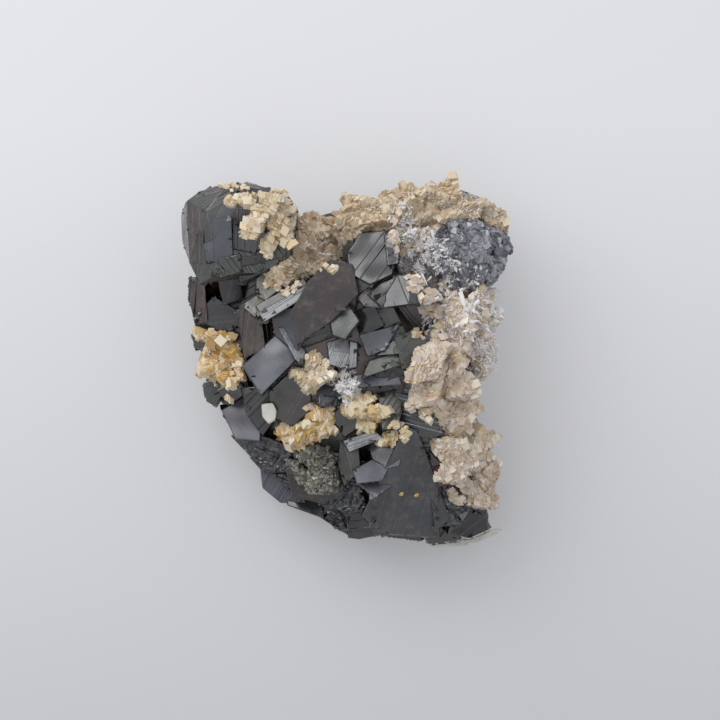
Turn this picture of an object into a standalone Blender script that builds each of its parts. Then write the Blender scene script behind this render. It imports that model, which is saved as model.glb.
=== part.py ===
"""Sphalerite specimen: intergrown dark crystals on rock, with crusts of carbonate, quartz, galena and pyrite.

Blender 4.5, metres, +Z up. The specimen lies on its flat contact face. Every crystal and lump is a convex
hull, written in millimetres as seen from above, with +Y away from the viewer. A mineral is the union of its
hulls, less the hulls of the minerals that it grew on, which are grown by the gap first.
"""

import math
import random

import bmesh
import bpy
from mathutils import Euler, Vector
from mathutils.bvhtree import BVHTree

MM = 0.001
GAP = 0.32                 # mm between minerals that touch
GOLDEN_ANGLE = 2.39996     # radians from one crystal of a druse to the next, which spreads them evenly
FLARE = 0.05               # how far a crystal's sides lean out, as a share of its depth
SMALLEST_REACH = 2.0       # mm, a face that is smaller leans out as if it were this wide
INTERGROWN = 1.2           # each flat face is this much wider than it shows, so that neighbours meet
CRYSTAL_DEPTH = 12.0       # mm from a crystal's top face down into the rock
CONTACT_Z = 0.0            # mm, the flat underside
WELD = 0.02                # mm, corners closer than this are made one, if that leaves the body closed
TRIES = [("EXACT", WELD), ("MANIFOLD", WELD), ("MANIFOLD", 0.0)]
RHOMB_ANGLE = 75.0         # degrees between the edges of a carbonate rhomb's face
RHOMB_EDGE = 0.8           # a rhomb's edge as a share of its size from corner to corner
KNOB_CUT = 0.45            # how little of a galena cube's edge is left between its cut corners
KNOB_SINK = 4.5            # mm from the middle of a heap of knobs down to its rim
KNOB_SIZES = (0.85, 1.2)   # the smallest and the largest knob of a heap, as shares of its size
KNOB_CLEAR = 0.6           # mm that a knob stands out of the rock at least
HEAP_RINGS = [(0.95, 9.0), (0.7, 3.0)]  # the inside of a heap: (share of the reach, mm below its middle)
HEAP_SIDES = 10
FAR_OFF = 90.0             # mm, outside everything, where rays towards the rock start

ROCK_INSET = 0.95          # the rock's outlines are drawn in by this, so that the side crystals stand out
# Rock under the crystals: each lump is a list of (height, outline) rings.
ROCK = {
    "core": [
        (CONTACT_Z, [(-24, 20), (-8, 27), (14, 28), (26, 22), (28, 0), (25, -24), (10, -31), (-8, -25),
                     (-24, -7)]),
        (13.0, [(-36.5, 22), (-37, 5), (-33.5, -8), (-20, -27), (-9, -34.5), (3, -41.5), (20, -43),
                (34, -41.5),
                (34.5, -25), (32, -7), (34, 6), (35.5, 22), (28, 31), (0, 34), (-20, 30)]),
        (23.0, [(-31, 18), (-30, 3), (-26, -6), (-14, -20), (-2, -29), (10, -34), (25, -35), (30, -20),
                (28.5, -4), (31, 8), (31, 20), (22, 26), (0, 28), (-18, 26)]),
    ],
    "upper_left": [
        (6.0, [(-32, 34), (-20, 38), (-14, 30), (-14, 16), (-32, 14)]),
        (17.0, [(-39, 37), (-35, 42), (-26, 44.5), (-17, 43), (-12.5, 37.5), (-10, 20), (-37.5, 16)]),
        (31.0, [(-37, 36), (-33, 41), (-24, 43), (-16, 41), (-13, 35), (-13, 22), (-34, 22)]),
    ],
    "upper_right": [
        (5.0, [(6, 33), (24, 38), (33, 30), (31, 16), (6, 16)]),
        (15.0, [(-1, 40), (12, 45), (29, 47), (38, 43.5), (41.5, 36), (40, 22), (30, 12), (0, 20)]),
        (26.0, [(1, 38.5), (12, 43.5), (28, 45.5), (36, 42.5), (39, 35), (38, 24), (28, 16), (6, 20)]),
    ],
    "valley": [
        (8.0, [(-12, 20), (-10, 34), (2, 36), (6, 20)]),
        (20.0, [(-14, 20), (-13.5, 37.5), (-4, 37.5), (4, 42), (8, 30), (4, 20)]),
    ],
    "crown": [
        (18.0, [(-30, 18), (-10, 28), (16, 30), (27, 12), (27, -14), (16, -30), (-12, -28), (-28, -8)]),
        (30.0, [(-22, 16), (-8, 21), (12, 24), (21, 10), (20, -12), (10, -20), (-10, -18), (-21, -6)]),
        (35.0, [(-14, 12), (-4, 18), (11, 19), (17, 6), (16, -3), (7, -5), (-9, -2), (-15, 3)]),
    ],
    "right_ridge_far": [
        (12.0, [(22, 20), (37, 20), (37.2, 9), (37.8, 1), (35, -4), (29, -10), (22, -10)]),
        (22.0, [(20, 18), (36.5, 18), (36.6, 9), (37.2, 1.5), (34.4, -4), (28, -10), (20, -10)]),
        (30.5, [(18, 17), (30.5, 17), (31.5, 2), (28, -7), (18, -8)]),
    ],
    "right_ridge_near": [
        (12.0, [(22, -6), (30, -6), (33.6, -11), (37, -18), (37.3, -30), (36, -36), (22, -36)]),
        (22.0, [(20, -5), (29.4, -6), (33, -11), (36.2, -19), (36.2, -28), (33, -34), (20, -30)]),
        (30.0, [(18, -6), (27, -8), (28, -20), (18, -18)]),
    ],
    "lower_left": [
        (7.0, [(-24, -10), (-15, -26), (-4, -32), (2, -30), (-6, -12)]),
        (13.0, [(-33, -9), (-27, -18), (-20, -26), (-19.5, -30), (-15.5, -33.5), (-6, -37), (2, -38),
                (0, -10)]),
        (25.0, [(-24, -8), (-19, -14), (-10, -22), (0, -26), (2, -10)]),
    ],
}

# Crystals with one flat top face: (height at its middle, dip in degrees, direction of the dip, outline).
TOP_FACES = {
    "left_plate": (40.2, 4, 0, [(-31.8, 35.2), (-28, 35.4), (-27.6, 24.6), (-31.3, 24.8)]),
    "left_pink_facet": (38.7, 22, 200, [(-34.2, 29.5), (-31.8, 30.5), (-31.4, 26), (-33.4, 25.6)]),
    "left_ledge_high": (40.4, 12, 270, [(-30.5, 25.9), (-26, 26.8), (-25.6, 23.2), (-30, 22)]),
    "left_ledge_low": (38.6, 26, 280, [(-26, 25.9), (-20.4, 26.8), (-19.4, 23.6), (-25, 20.8)]),
    "left_back": (40, 18, 60, [(-20.5, 43.9), (-14.8, 43), (-11.7, 38.2), (-14.8, 36.6), (-19.8, 39.6)]),
    "left_middle_step": (39.8, 9, 300, [(-26.4, 37), (-21, 38.2), (-18.6, 32), (-22, 28.4), (-26.6, 29.4)]),
    "recess_blade": (33.4, 32, 300, [(-30.6, 21.4), (-26.4, 22.8), (-25.6, 16.9), (-29.6, 15.6)]),
    "recess_wall": (31.5, 30, 200, [(-25.6, 21.4), (-21.6, 22.4), (-20.8, 17.6), (-25, 15.4)]),
    "left_strip": (27.5, 38, 190, [(-38.5, 21.6), (-35, 19.8), (-34.4, 11.6), (-37, 11), (-38.7, 16.6)]),
    "left_point": (28, 20, 250, [(-36.5, 12), (-32.2, 16), (-25.4, 11.9), (-29.8, 8), (-35.2, 9.6)]),
    "left_slab": (33.4, 34, 185, [(-25.9, 13), (-21.4, 14.9), (-20, 5), (-24.4, 2.8)]),
    "left_lobe": (20.5, 26, 180, [(-38.2, 7.4), (-36.5, 9.5), (-34.6, 8), (-34.8, 4.6), (-37.2, 4.3)]),
    "left_shoulder": (24.5, 22, 190, [(-35, 6.6), (-26, 8.6), (-23.4, -2), (-32.2, -5.9), (-35.2, -1.4)]),
    "pale_quad": (37, 26, 95, [(-24.6, 14.8), (-20.4, 17.6), (-18.9, 14.4), (-21.5, 12)]),
    "grainy_facet": (35.6, 22, 75, [(-21, 21.2), (-17.2, 25), (-14.7, 24), (-15.4, 19.8), (-19, 16.8),
                                    (-21, 17.8)]),
    "rhombic_face": (37.4, 13, 105, [(-23.6, 0), (-15.2, 8.1), (-10.9, 3.2), (-19.9, -5.9)]),
    "rhombic_ridge": (39, 38, 40, [(-15.4, 8.4), (-14.1, 8.6), (-10, 3.4), (-10.8, 1), (-12, 2)]),
    "central_face": (41.4, 11, 300,
                     [(-11.9, 13.2), (-8, 20), (-3.6, 24.3), (0.9, 23.4), (2.1, 17.4), (-3.5, 11.7),
                      (-10.5, 6.9)]),
    "central_left_face": (38.8, 30, 195, [(-17.4, 12.6), (-11.8, 13.4), (-10.4, 7), (-12, 4), (-16.2, 7.4)]),
    "central_ledge_high": (40.6, 30, 120, [(-19.6, 13.3), (-8.4, 20), (-7.4, 18.4), (-18.4, 11.6)]),
    "central_ledge_low": (39, 30, 120, [(-20.6, 15), (-10.8, 20.6), (-9.8, 18.9), (-19.4, 13)]),
    "red_pit": (35, 24, 290, [(-10.6, 6.8), (-4, 10.8), (-2.4, 6.8), (-4.8, 1.8), (-10, 1.6)]),
    "centre_grey_facet": (39.8, 20, 100, [(-3.1, 11.8), (0.8, 14.3), (3.1, 10.8), (0.2, 7), (-2.3, 7.9)]),
    "bright_facet": (37.8, 27, 90, [(-3.6, 5), (0.2, 6.4), (2.2, 3.2), (0.2, -0.4), (-2.9, 0.7)]),
    "bright_lath": (38.6, 15, 90, [(1.7, 5.3), (3.2, 4.9), (3, 0), (1.4, -0.3)]),
    "upper_dark_crystal": (39.8, 15, 110,
                           [(2, 27.5), (4.5, 31.3), (9.5, 31.9), (11.6, 28.8), (11, 23.1), (6.5, 21),
                            (2.4, 23.2)]),
    "upper_bright_lath": (41.4, 25, 60, [(10.4, 31.3), (12, 32.3), (13.6, 30.5), (13, 25.7), (11.1, 25.4)]),
    "upper_grey_facet": (36.8, 38, 200, [(0, 28.8), (2.1, 29.9), (2.6, 23.8), (0.6, 21.8)]),
    "hollow_face": (38.2, 20, 250, [(1, 16.8), (3.5, 21), (7.2, 20.4), (5.6, 15.4), (3, 13.1)]),
    "wedge_step": (39.4, 15, 100, [(4, 17), (9, 20.9), (12.9, 22.1), (8.5, 14.7), (5.4, 15.1)]),
    "wedge_step_high": (40.4, 15, 100, [(6.6, 17.6), (10.4, 20.8), (13.2, 22), (9.6, 15)]),
    "wedge_floor": (33, 15, 270, [(9, 13.4), (21.5, 15.4), (21, 9.8), (16.5, 8.4), (11, 8.9)]),
    "centre_dark_face": (37.8, 22, 205, [(3, 12.6), (7, 14.4), (9.2, 10), (4.5, 7.4)]),
    "blue_facet": (39.4, 14, 75, [(4.7, 7), (12.9, 9.4), (9.8, 4.1), (6.4, 2.8)]),
    "green_triangle": (38.9, 20, 90, [(8.9, 2.7), (13, 6.6), (14.1, 3.1)]),
    "green_facet": (39.2, 22, 80, [(5.4, -2.6), (6.9, 0.9), (12.2, 2.6), (14.1, 0.4)]),
    "black_triangle": (38.2, 27, 270, [(6.4, -0.4), (14.6, 0.7), (15.3, -1.9), (10.2, -4)]),
    "grey_lath": (37.6, 15, 90, [(2.4, -3.8), (3.5, -2.7), (12.5, -2.9), (13.1, -4.6), (4.5, -5.2)]),
    "green_dark_face": (38.4, 15, 30, [(13.4, 6.3), (17.8, 8.2), (20.6, 5), (20, 0.7), (14.9, -0.1)]),
    "right_dark_face": (36.8, 21, 300, [(13.5, -0.3), (20.3, 0.2), (21.2, -4.8), (15.2, -6.4), (11.4, -4.3)]),
    "round_crystal": (36.4, 10, 100, [(20.2, 8), (22.8, 9.4), (24.9, 7.2), (24.1, 4.7), (21, 4.3)]),
    "striated_lath": (35.9, 20, 90, [(9, -7.8), (12.5, -6.7), (14.1, -8.2), (13.3, -14.3), (10, -15)]),
    "brown_face": (36.4, 24, 200, [(13.4, -6.6), (17.8, -5), (23.4, -16.2), (20.2, -17.4), (14, -15)]),
    "ledge_upper": (34, 10, 270, [(16.8, -16.6), (22.5, -16), (23.1, -18.2), (17.2, -19.1)]),
    "ledge_middle": (32.4, 11, 272, [(16.2, -18.4), (22.5, -17.8), (23.2, -20), (16.6, -20.6)]),
    "ledge_lower": (30.8, 13, 268, [(16, -20), (22.5, -19.6), (23.1, -22), (17, -22.4)]),
    "lower_right_crystal": (30.6, 15, 290, [(21.4, -22.7), (26, -21), (30.1, -24.2), (30.6, -28.8),
                                            (24, -29.4)]),
    "left_dark_crystal": (33.8, 15, 250,
                          [(-17.6, -6.8), (-13.5, -3), (-9, -5), (-8.9, -10.8), (-13, -14), (-17.1, -11.9)]),
    "black_cube_upper": (35.4, 30, 60, [(-6.1, -6.2), (-3.5, -4.6), (-1.4, -6.8), (-2.5, -9.9),
                                        (-5.6, -9.6)]),
    "black_cube_lower": (34.8, 30, 300, [(-4.6, -7.7), (-1.7, -6.6), (-0.8, -9.2), (-3.5, -11)]),
    "low_left_blue_face": (24, 20, 165,
                           [(-29.6, -11.8), (-25.2, -9), (-21.3, -12.5), (-21.7, -18.1), (-27.1, -18.4)]),
    "low_left_green_facet": (21, 26, 200,
                             [(-35.2, -5.2), (-32.5, -3.8), (-30.6, -6.8), (-32.4, -9.7), (-34.3, -8.9)]),
    "low_left_plate": (27.6, 12, 250, [(-30.8, -6.2), (-26.5, -4.3), (-24.6, -6.8), (-28.5, -9.4)]),
    "low_left_dark_face": (28.4, 26, 220,
                           [(-24.8, -6.6), (-19, -6), (-17, -11.8), (-20.4, -16.4), (-23.6, -12)]),
    "slope_a": (18, 36, 225, [(-28.2, -18), (-21.4, -17.6), (-18.8, -22.6), (-23.1, -23.4)]),
    "slope_b": (21, 30, 240, [(-21.6, -18), (-14.6, -20.6), (-12.8, -26), (-20, -27), (-22.6, -23.2)]),
    "slope_c": (16, 30, 240, [(-20.1, -26.2), (-12, -26), (-10.8, -33.9), (-16, -34.6), (-20.4, -30.9)]),
    "purple_slope": (22, 25, 260, [(-13.6, -26.6), (-11, -25.8), (-3.3, -31.8), (-5.5, -34), (-12.2, -32.4)]),
    "pale_slope": (15.4, 18, 110, [(-13.7, -32.4), (-6.4, -33.6), (-5.9, -37.9), (-10, -36.2),
                                   (-14.2, -35.2)]),
    "slope_d": (15, 26, 260, [(-6.6, -33.6), (0.3, -34.8), (2.2, -43.2), (-1.5, -41.4), (-6.2, -38.2)]),
    "slope_e": (22, 26, 250, [(-3.6, -31.6), (3.2, -28.6), (4.7, -35), (1, -37), (-2.9, -34.6)]),
    "slope_f": (17, 24, 240, [(0.6, -36), (6, -35.4), (7.9, -42.2), (4, -43.6), (1.4, -43.4)]),
    "lavender_facet": (32.4, 15, 90, [(3, -26.2), (7, -24), (10.3, -25.7), (9, -28.3), (3.9, -28.9)]),
    "lavender_slope": (30.2, 27, 75, [(4.4, -29.2), (10.3, -26.6), (12.4, -29.2), (7.7, -32.4)]),
    "rough_face": (29.4, 27, 276,
                   [(15.2, -17.7), (17.6, -18.8), (22, -30), (22.2, -41), (9, -42), (6.4, -36.2),
                    (11, -28.8)]),
    "blue_side_face": (25.6, 36, 350, [(21.7, -30.6), (25.9, -31), (27.1, -36.8), (23, -40.2)]),
    "low_bright_lath": (33.8, 20, 95, [(0.7, -18.8), (7, -16.6), (8.9, -18.2), (1.9, -21)]),
    "brown_strip": (22.6, 40, 200, [(5.4, -36.8), (9, -35.6), (10.6, -42), (7.5, -42.3)]),
    "lower_right_mass": (24.6, 20, 280, [(23.9, -29.6), (31.1, -35), (29, -39), (23.9, -39.6)]),
    "lower_right_corner": (19.6, 24, 300, [(27, -36), (35.6, -36.6), (36.1, -41.3), (31.4, -43.4),
                                           (26.4, -41.4)]),
    "bottom_edge": (15, 20, 270, [(18.8, -39.8), (27.8, -39.8), (29.2, -44), (21.4, -45)]),
    "bottom_edge_left": (17.5, 22, 268, [(8.4, -38), (18.4, -38), (19.2, -44.2), (13.8, -43.2),
                                         (9.4, -42.8)]),
    "centre_dark_step": (32.6, 15, 240, [(-2.1, -7.8), (1.6, -9.1), (3.1, -15), (0.2, -17), (-2.1, -13.9)]),
    "ball_side_face": (28.6, 25, 200, [(-0.6, -19.8), (3.1, -21), (3.6, -25.8), (0.2, -29), (-1.1, -24.3)]),
    "low_centre_face": (31.6, 20, 160, [(8.4, -16.6), (14.1, -18.6), (13.1, -24.3), (8.4, -25.2),
                                        (6.9, -20.8)]),
    "right_shelf": (33, 14, 330, [(20.4, -0.6), (26.4, 1.8), (28.2, -6.2), (21.8, -9.4)]),
    "right_back_shelf": (33.6, 16, 20, [(20.8, 15.2), (27.4, 16.4), (28, 9), (24.4, 6.8)]),
}

# Crystals whose faces meet at a ridge: the corners that show, each (x, y, height).
RIDGED = {
    "upper_left_crystal": [
        (-33.9, 38.1, 38.4), (-30, 42.9, 38.2), (-23.5, 43.9, 38.4), (-15.5, 42.5, 38.2), (-12, 37, 38.2),
        (-13.4, 27, 38.6), (-20.5, 22.6, 38.8), (-30.8, 22.8, 39), (-38.9, 40.6, 32), (-36, 42.9, 31),
        (-31, 44.4, 33), (-38.9, 37, 31.4), (-38.1, 25.6, 31.8), (-35.4, 20.2, 33.6), (-40.3, 37.4, 24),
        (-40, 31, 24), (-24, 45.2, 32),
    ],
    "wedge": [
        (8.4, 14, 40.6), (13.2, 22.1, 41.2), (17, 22.1, 42.6), (16, 14.9, 44.6), (23.3, 15.9, 39.8),
        (20.5, 20.8, 40),
    ],
    "small_wedge": [
        (20.9, -21.5, 32.6), (26.2, -20.4, 31.2), (24.2, -24.6, 33.4), (20.8, -25.4, 31),
    ],
    "hollow_pyramid": [
        (-2.2, 0.6, 35.4), (2.2, -0.4, 35.8), (0.6, -3.4, 37), (-1.8, -4.4, 34.6), (3.2, -4.6, 35),
    ],
    "slope_ridge": [
        (-13, -20.4, 26), (-9.6, -24, 27.4), (-3, -29.6, 25), (-11.6, -27, 22), (-4.6, -24.6, 25),
    ],
}

# Crystals round the sides: rings of (height, how many, reach of their corners as a share of the outline).
SIDE_RINGS = [(8.5, 7, 0.93), (14.5, 12, 1.0)]
SIDE_SIZES = (9.0, 12.5)   # mm, the smallest and the largest
SIDE_LOWEST = 1.2          # mm, where the lowest of their corners end, above the contact face
SIDE_OUTLINE = [
    (-38.6, 24), (-38, 16), (-37, 7), (-35, -2), (-33.6, -9), (-27, -18.6), (-20.6, -27), (-15.4, -34),
    (-6, -38),
    (3, -42.6), (14, -42.8), (24, -44), (34, -41.8), (35, -32), (34.6, -22), (31.4, -10), (33.4, -2),
    (36, 5), (36.4, 20),
    (38.6, 32), (34.6, 42.4), (22, 45), (10, 41.6), (-1, 37.6), (-8, 34), (-13, 39), (-24, 44.6), (-36, 42.2),
    (-40, 35),
]
SIDE_SEED = 11
SIDE_TURN = 50.0           # degrees that they may lean
SIDE_SLIM = (0.6, 0.9)     # their other two sides, as shares of the first
SIDE_TAPER = (0.72, 0.8)   # their narrow end, as shares of the wide one

# Where the carbonates lie, seen from above: patches of (outline, size of a grain, grain spacing, seed).
CARBONATES = {
    "carbonate_crust_upper": [
        ([(-18, 27.5), (-13.5, 30.5), (-11.5, 33.4), (-6, 33.2), (-3.5, 35), (-1, 38), (2, 38.8), (2, 34),
          (0, 30.4), (-3.6, 26.5), (-7, 22.5), (-12, 18.2), (-15, 18), (-14, 22), (-17, 25)],
         6.6, 4.2, 25),
        ([(-3, 37), (3, 38.8), (9, 39.4), (13, 40.4), (14, 34), (9, 33.4), (3, 32), (-3, 32)],
         7.0, 4.2, 27),
        ([(10, 39), (13, 40.4), (20.2, 43.4), (30, 43.6), (35.4, 42.6), (38.4, 38.8), (38.4, 35.6),
          (37.6, 33), (31, 34.6), (24.6, 33.6), (20, 31.2), (14, 30.4), (12, 32.4)],
         6.6, 4.6, 21),
    ],
    "carbonate_crust_right": [
        ([(22, 21.4), (27.6, 20), (34.6, 18.4), (36.6, 15), (36.6, 9), (36.6, 3.6), (36, -1), (33.6, -8),
          (34, -13.4), (36.2, -19.4), (36.2, -27.4), (35, -33.4), (33.6, -35), (30.6, -34.2), (25.4, -29),
          (26, -24.4), (22.4, -21.4), (23.4, -16.4), (21.8, -12.4), (18.8, -6.8), (22, -2), (21.4, 1.6),
          (24, 5), (25.2, 10), (22, 12.6), (24, 17)],
         8.0, 5.6, 29),
    ],
    "carbonate_patch_upper_left": [
        ([(-29, 41.4), (-23.5, 42.4), (-18.6, 41.4), (-15.4, 38.4), (-13.6, 34.6), (-13.4, 30.4),
          (-17.2, 28.6),
          (-20.5, 31.4), (-23.4, 32), (-25.8, 35), (-24.8, 38.4), (-23.4, 41.2)],
         5.4, 4.2, 5),
    ],
    "ochre_cluster_left": [
        ([(-34.6, 7.6), (-32.6, 9), (-27, 9.4), (-26, 6.4), (-26.4, 3.4), (-24.6, 1), (-24.6, -1.6),
          (-28, -4.2),
          (-32.4, -3.8), (-33.4, 0), (-33.4, 4)],
         5, 3.5, 8),
    ],
    "cream_cluster_centre": [
        ([(-12, -2.4), (-9.6, 0), (-4.8, 1), (-1.8, -0.6), (-1.6, -3.6), (-4, -5.2), (-6.4, -7.4),
          (-9.8, -5.6)],
         4.4, 3.0, 3),
    ],
    "cream_cluster_low_centre": [
        ([(0.4, -9.6), (3.2, -7), (7.8, -7.6), (8.8, -10.8), (7.4, -15.2), (4.2, -16.2), (1.8, -13.4)],
         4.6, 3.2, 19),
    ],
    "ochre_cluster_lower": [
        ([(-18.8, -17), (-16, -15.2), (-11, -14.6), (-8.6, -12), (-8, -10.4), (-5.6, -11.6), (-3, -13.4),
          (-2.6, -15.8), (-5.8, -17.4), (-9.8, -18.2), (-12.4, -19.8), (-17, -19.4)],
         4.6, 3, 17),
    ],
    "yellow_clot": [
        ([(9.4, -17.4), (12.6, -14.6), (16.4, -13.8), (16.2, -16.6), (13.6, -18.6), (10.8, -19.8)],
         3.6, 2.3, 23),
    ],
}
RHOMB_SIZES = (0.88, 1.15)  # the smallest and the largest grain of a patch, as shares of its size
RHOMB_TURN = 28.0           # degrees that a grain may be turned from its patch's common way
PATCH_TURN = 40.0           # degrees that a patch's common way may lean
RHOMB_SHIFT = 0.22          # how far a grain may be off its place in the grid, as a share of the spacing
RHOMB_LIFT = 0.16           # how far a grain's middle stands above the rock, as a share of its size

# The parts of the right crust that hang down the outer wall, each from one y to another, in mm.
WALL_STRETCHES = [(19.0, 1.0), (-16.0, -34.0)]
WALL_HEIGHT = 23.5
WALL_GRAIN = 7.4
WALL_SPACING = 5.8
WALL_SEED = 61
WALL_WANDER = 0.8          # mm that a rhomb on the wall may be above or below its row
WALL_ROOT = 0.3            # mm that its middle lies inside the wall

# Quartz: (middle of the druse, reach in x and y, how many points, their length and thickness, seed).
QUARTZ = {
    "quartz_spray_upper_right": ((18, 26.6), (4.6, 4.6), 7, 5, 2.4, 31),
    "quartz_druse_right": ((33.4, 6.4), (2.4, 9), 7, 5.4, 2.6, 37),
    "quartz_druse_centre": ((0.8, -6), (2.2, 2.2), 4, 3.4, 1.7, 41),
}

QUARTZ_ROOT = 0.45         # how much of a point's length is below its foot
QUARTZ_SHOULDER = 0.72     # how far up its length the pyramid starts
QUARTZ_UPRIGHT = 0.6       # how much the points of a druse turn from the rock's normal towards straight up
QUARTZ_TURN = 14.0         # degrees that a point may be turned from that
QUARTZ_LENGTHS = (0.75, 1.15)   # the shortest and the longest point of a druse, as shares of its length
QUARTZ_WIDTHS = (0.8, 1.3)      # and the same for the thickness
PAD_HEIGHTS = (-2.0, 0.25)      # mm, the bottom and the top of a druse's pad from the rock

# Heaps of knobs: galena and pyrite as (middle, reach, rise of the middle, how many, knob size, seed).
GALENA = ((30.8, 27.4), (7.4, 6.6), 34.0, 10, 6.1, 51)
PYRITE = ((-6.2, -24.6), (4.4, 6.2), 29.0, 6, 5.6, 57)

WHITE_GRAIN = [
    (-20.4, -9.8, 33.4), (-17.6, -9.2, 34.4), (-16.6, -11.4, 34.8), (-17, -13.6, 34.4), (-18.6, -14.6, 33.4),
    (-20.2, -12.8, 33),
]
FOOT_LUMPS = [
    [(21, -44.4, 7), (30, -43, 8), (31.6, -45.6, 7), (22, -46, 6.4), (21.6, -44.8, 11.4), (28.6, -43.2, 12.4),
     (29.6, -41.6, 13.4), (30.2, -45.6, 10.4), (24, -45.8, 10.6)],
    [(29, -42, 8), (36, -43, 7.6), (40.4, -41.2, 8.4), (38.6, -42.8, 8), (30, -45.2, 8.2),
     (30.4, -42.4, 12.6),
     (35, -43.4, 11), (39.6, -41.4, 9.8), (33, -45, 10.4)],
]

MATERIALS = {
    # name: (red, green, blue, roughness, metallic)
    "sphalerite": (0.035, 0.034, 0.038, 0.22, 0.0),
    "carbonate_cream": (0.66, 0.53, 0.36, 0.55, 0.0),
    "carbonate_ochre": (0.58, 0.35, 0.11, 0.6, 0.0),
    "quartz_clear": (0.8, 0.78, 0.76, 0.1, 0.0),
    "galena": (0.13, 0.14, 0.17, 0.4, 0.6),
    "pyrite_grey": (0.15, 0.14, 0.1, 0.45, 0.5),
    "calcite_white": (0.74, 0.73, 0.68, 0.3, 0.0),
}
NODE_MATERIAL = {
    "sphalerite_mass": "sphalerite",
    "carbonate_crust_upper": "carbonate_cream",
    "carbonate_crust_right": "carbonate_cream",
    "carbonate_patch_upper_left": "carbonate_cream",
    "ochre_cluster_left": "carbonate_ochre",
    "cream_cluster_centre": "carbonate_cream",
    "cream_cluster_low_centre": "carbonate_cream",
    "ochre_cluster_lower": "carbonate_ochre",
    "yellow_clot": "carbonate_ochre",
    "quartz_spray_upper_right": "quartz_clear",
    "quartz_druse_right": "quartz_clear",
    "quartz_druse_centre": "quartz_clear",
    "galena_cluster": "galena",
    "pyrite_ball": "pyrite_grey",
    "calcite_grain_white": "calcite_white",
    "calcite_foot": "calcite_white",
}


def middle_of(points):
    """The mean of a list of vectors."""
    return sum(points, Vector.Fill(len(points[0]))) / len(points)


def flared(points, depth):
    """A crystal's corners and, below them, the same corners spread outwards."""
    middle = middle_of(points)
    low = middle.z - depth
    spread = 1 + FLARE * depth / max(SMALLEST_REACH, max((p - middle).xy.length for p in points))
    below = [middle + (p - middle) * spread for p in points]
    return points + [Vector((p.x, p.y, low)) for p in below]


def tilted_face(height, dip, towards, outline):
    """The corners of a flat face that dips one way, wider than it shows except at the specimen's edge."""
    corners = [Vector((x, y, 0)) for x, y in outline]
    middle = middle_of(corners)
    angle = math.radians(towards)
    fall = Vector((math.cos(angle), math.sin(angle), 0)) * math.tan(math.radians(dip))
    wider = [middle + (c - middle) * INTERGROWN for c in corners]
    corners = [w if inside(SIDE_OUTLINE, w.x, w.y) else c for w, c in zip(wider, corners)]
    return [Vector((c.x, c.y, height - (c - middle).dot(fall))) for c in corners]


def grown(points, by):
    """The corners of a hull that stands out from another by at least a gap."""
    steps = (-by, by)
    return [p + Vector((dx, dy, dz)) for p in points for dx in steps for dy in steps for dz in steps]


def hull_mesh(name, points):
    """A closed mesh of the convex hull of some points in millimetres."""
    shape = bmesh.new()
    for p in points:
        shape.verts.new(p * MM)
    made = bmesh.ops.convex_hull(shape, input=shape.verts)
    unused = made["geom_interior"] + made["geom_unused"]
    spare = list({v for v in unused if isinstance(v, bmesh.types.BMVert)})
    bmesh.ops.delete(shape, geom=spare, context="VERTS")
    bmesh.ops.recalc_face_normals(shape, faces=shape.faces)
    mesh = bpy.data.meshes.new(name)
    shape.to_mesh(mesh)
    shape.free()
    return mesh


def helper_collection(name, hulls):
    """Hidden hull objects for a Boolean modifier to read."""
    collection = bpy.data.collections.new(name)
    bpy.context.scene.collection.children.link(collection)
    for number, points in enumerate(hulls):
        helper = bpy.data.objects.new(f"{name}_{number}", hull_mesh(name, points))
        helper.display_type = "WIRE"
        helper.hide_render = True
        collection.objects.link(helper)
    return collection


def remove_collection(collection):
    """Takes helper objects away again."""
    for helper in list(collection.objects):
        bpy.data.meshes.remove(helper.data)
    bpy.data.collections.remove(collection)


def boxes_meet(first, second):
    """Whether the boxes of two lists of points overlap."""
    for axis in range(3):
        if max(p[axis] for p in first) < min(p[axis] for p in second):
            return False
        if max(p[axis] for p in second) < min(p[axis] for p in first):
            return False
    return True


def add_boolean(body, operation, collection):
    """A Boolean modifier that works with every object of a collection."""
    modifier = body.modifiers.new(operation.title(), "BOOLEAN")
    modifier.operation = operation
    modifier.operand_type = "COLLECTION"
    modifier.collection = collection


def largest_body(mesh, weld):
    """Tidies a mesh's slivers and keeps only its largest body. Returns whether that is closed."""
    shape = bmesh.new()
    shape.from_mesh(mesh)
    if weld:
        bmesh.ops.remove_doubles(shape, verts=shape.verts, dist=weld * MM)
        bmesh.ops.dissolve_degenerate(shape, edges=shape.edges, dist=weld * MM)
    bmesh.ops.triangulate(shape, faces=shape.faces)
    left = set(shape.verts)
    islands = []
    while left:
        reach = [left.pop()]
        island = set(reach)
        while reach:
            vert = reach.pop()
            for edge in vert.link_edges:
                other = edge.other_vert(vert)
                if other in left:
                    left.remove(other)
                    island.add(other)
                    reach.append(other)
        islands.append(island)
    islands.sort(key=len, reverse=True)
    for island in islands[1:]:
        bmesh.ops.delete(shape, geom=list(island), context="VERTS")
    closed = all(edge.is_manifold and edge.is_contiguous for edge in shape.edges)
    shape.to_mesh(mesh)
    shape.free()
    return closed


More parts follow.
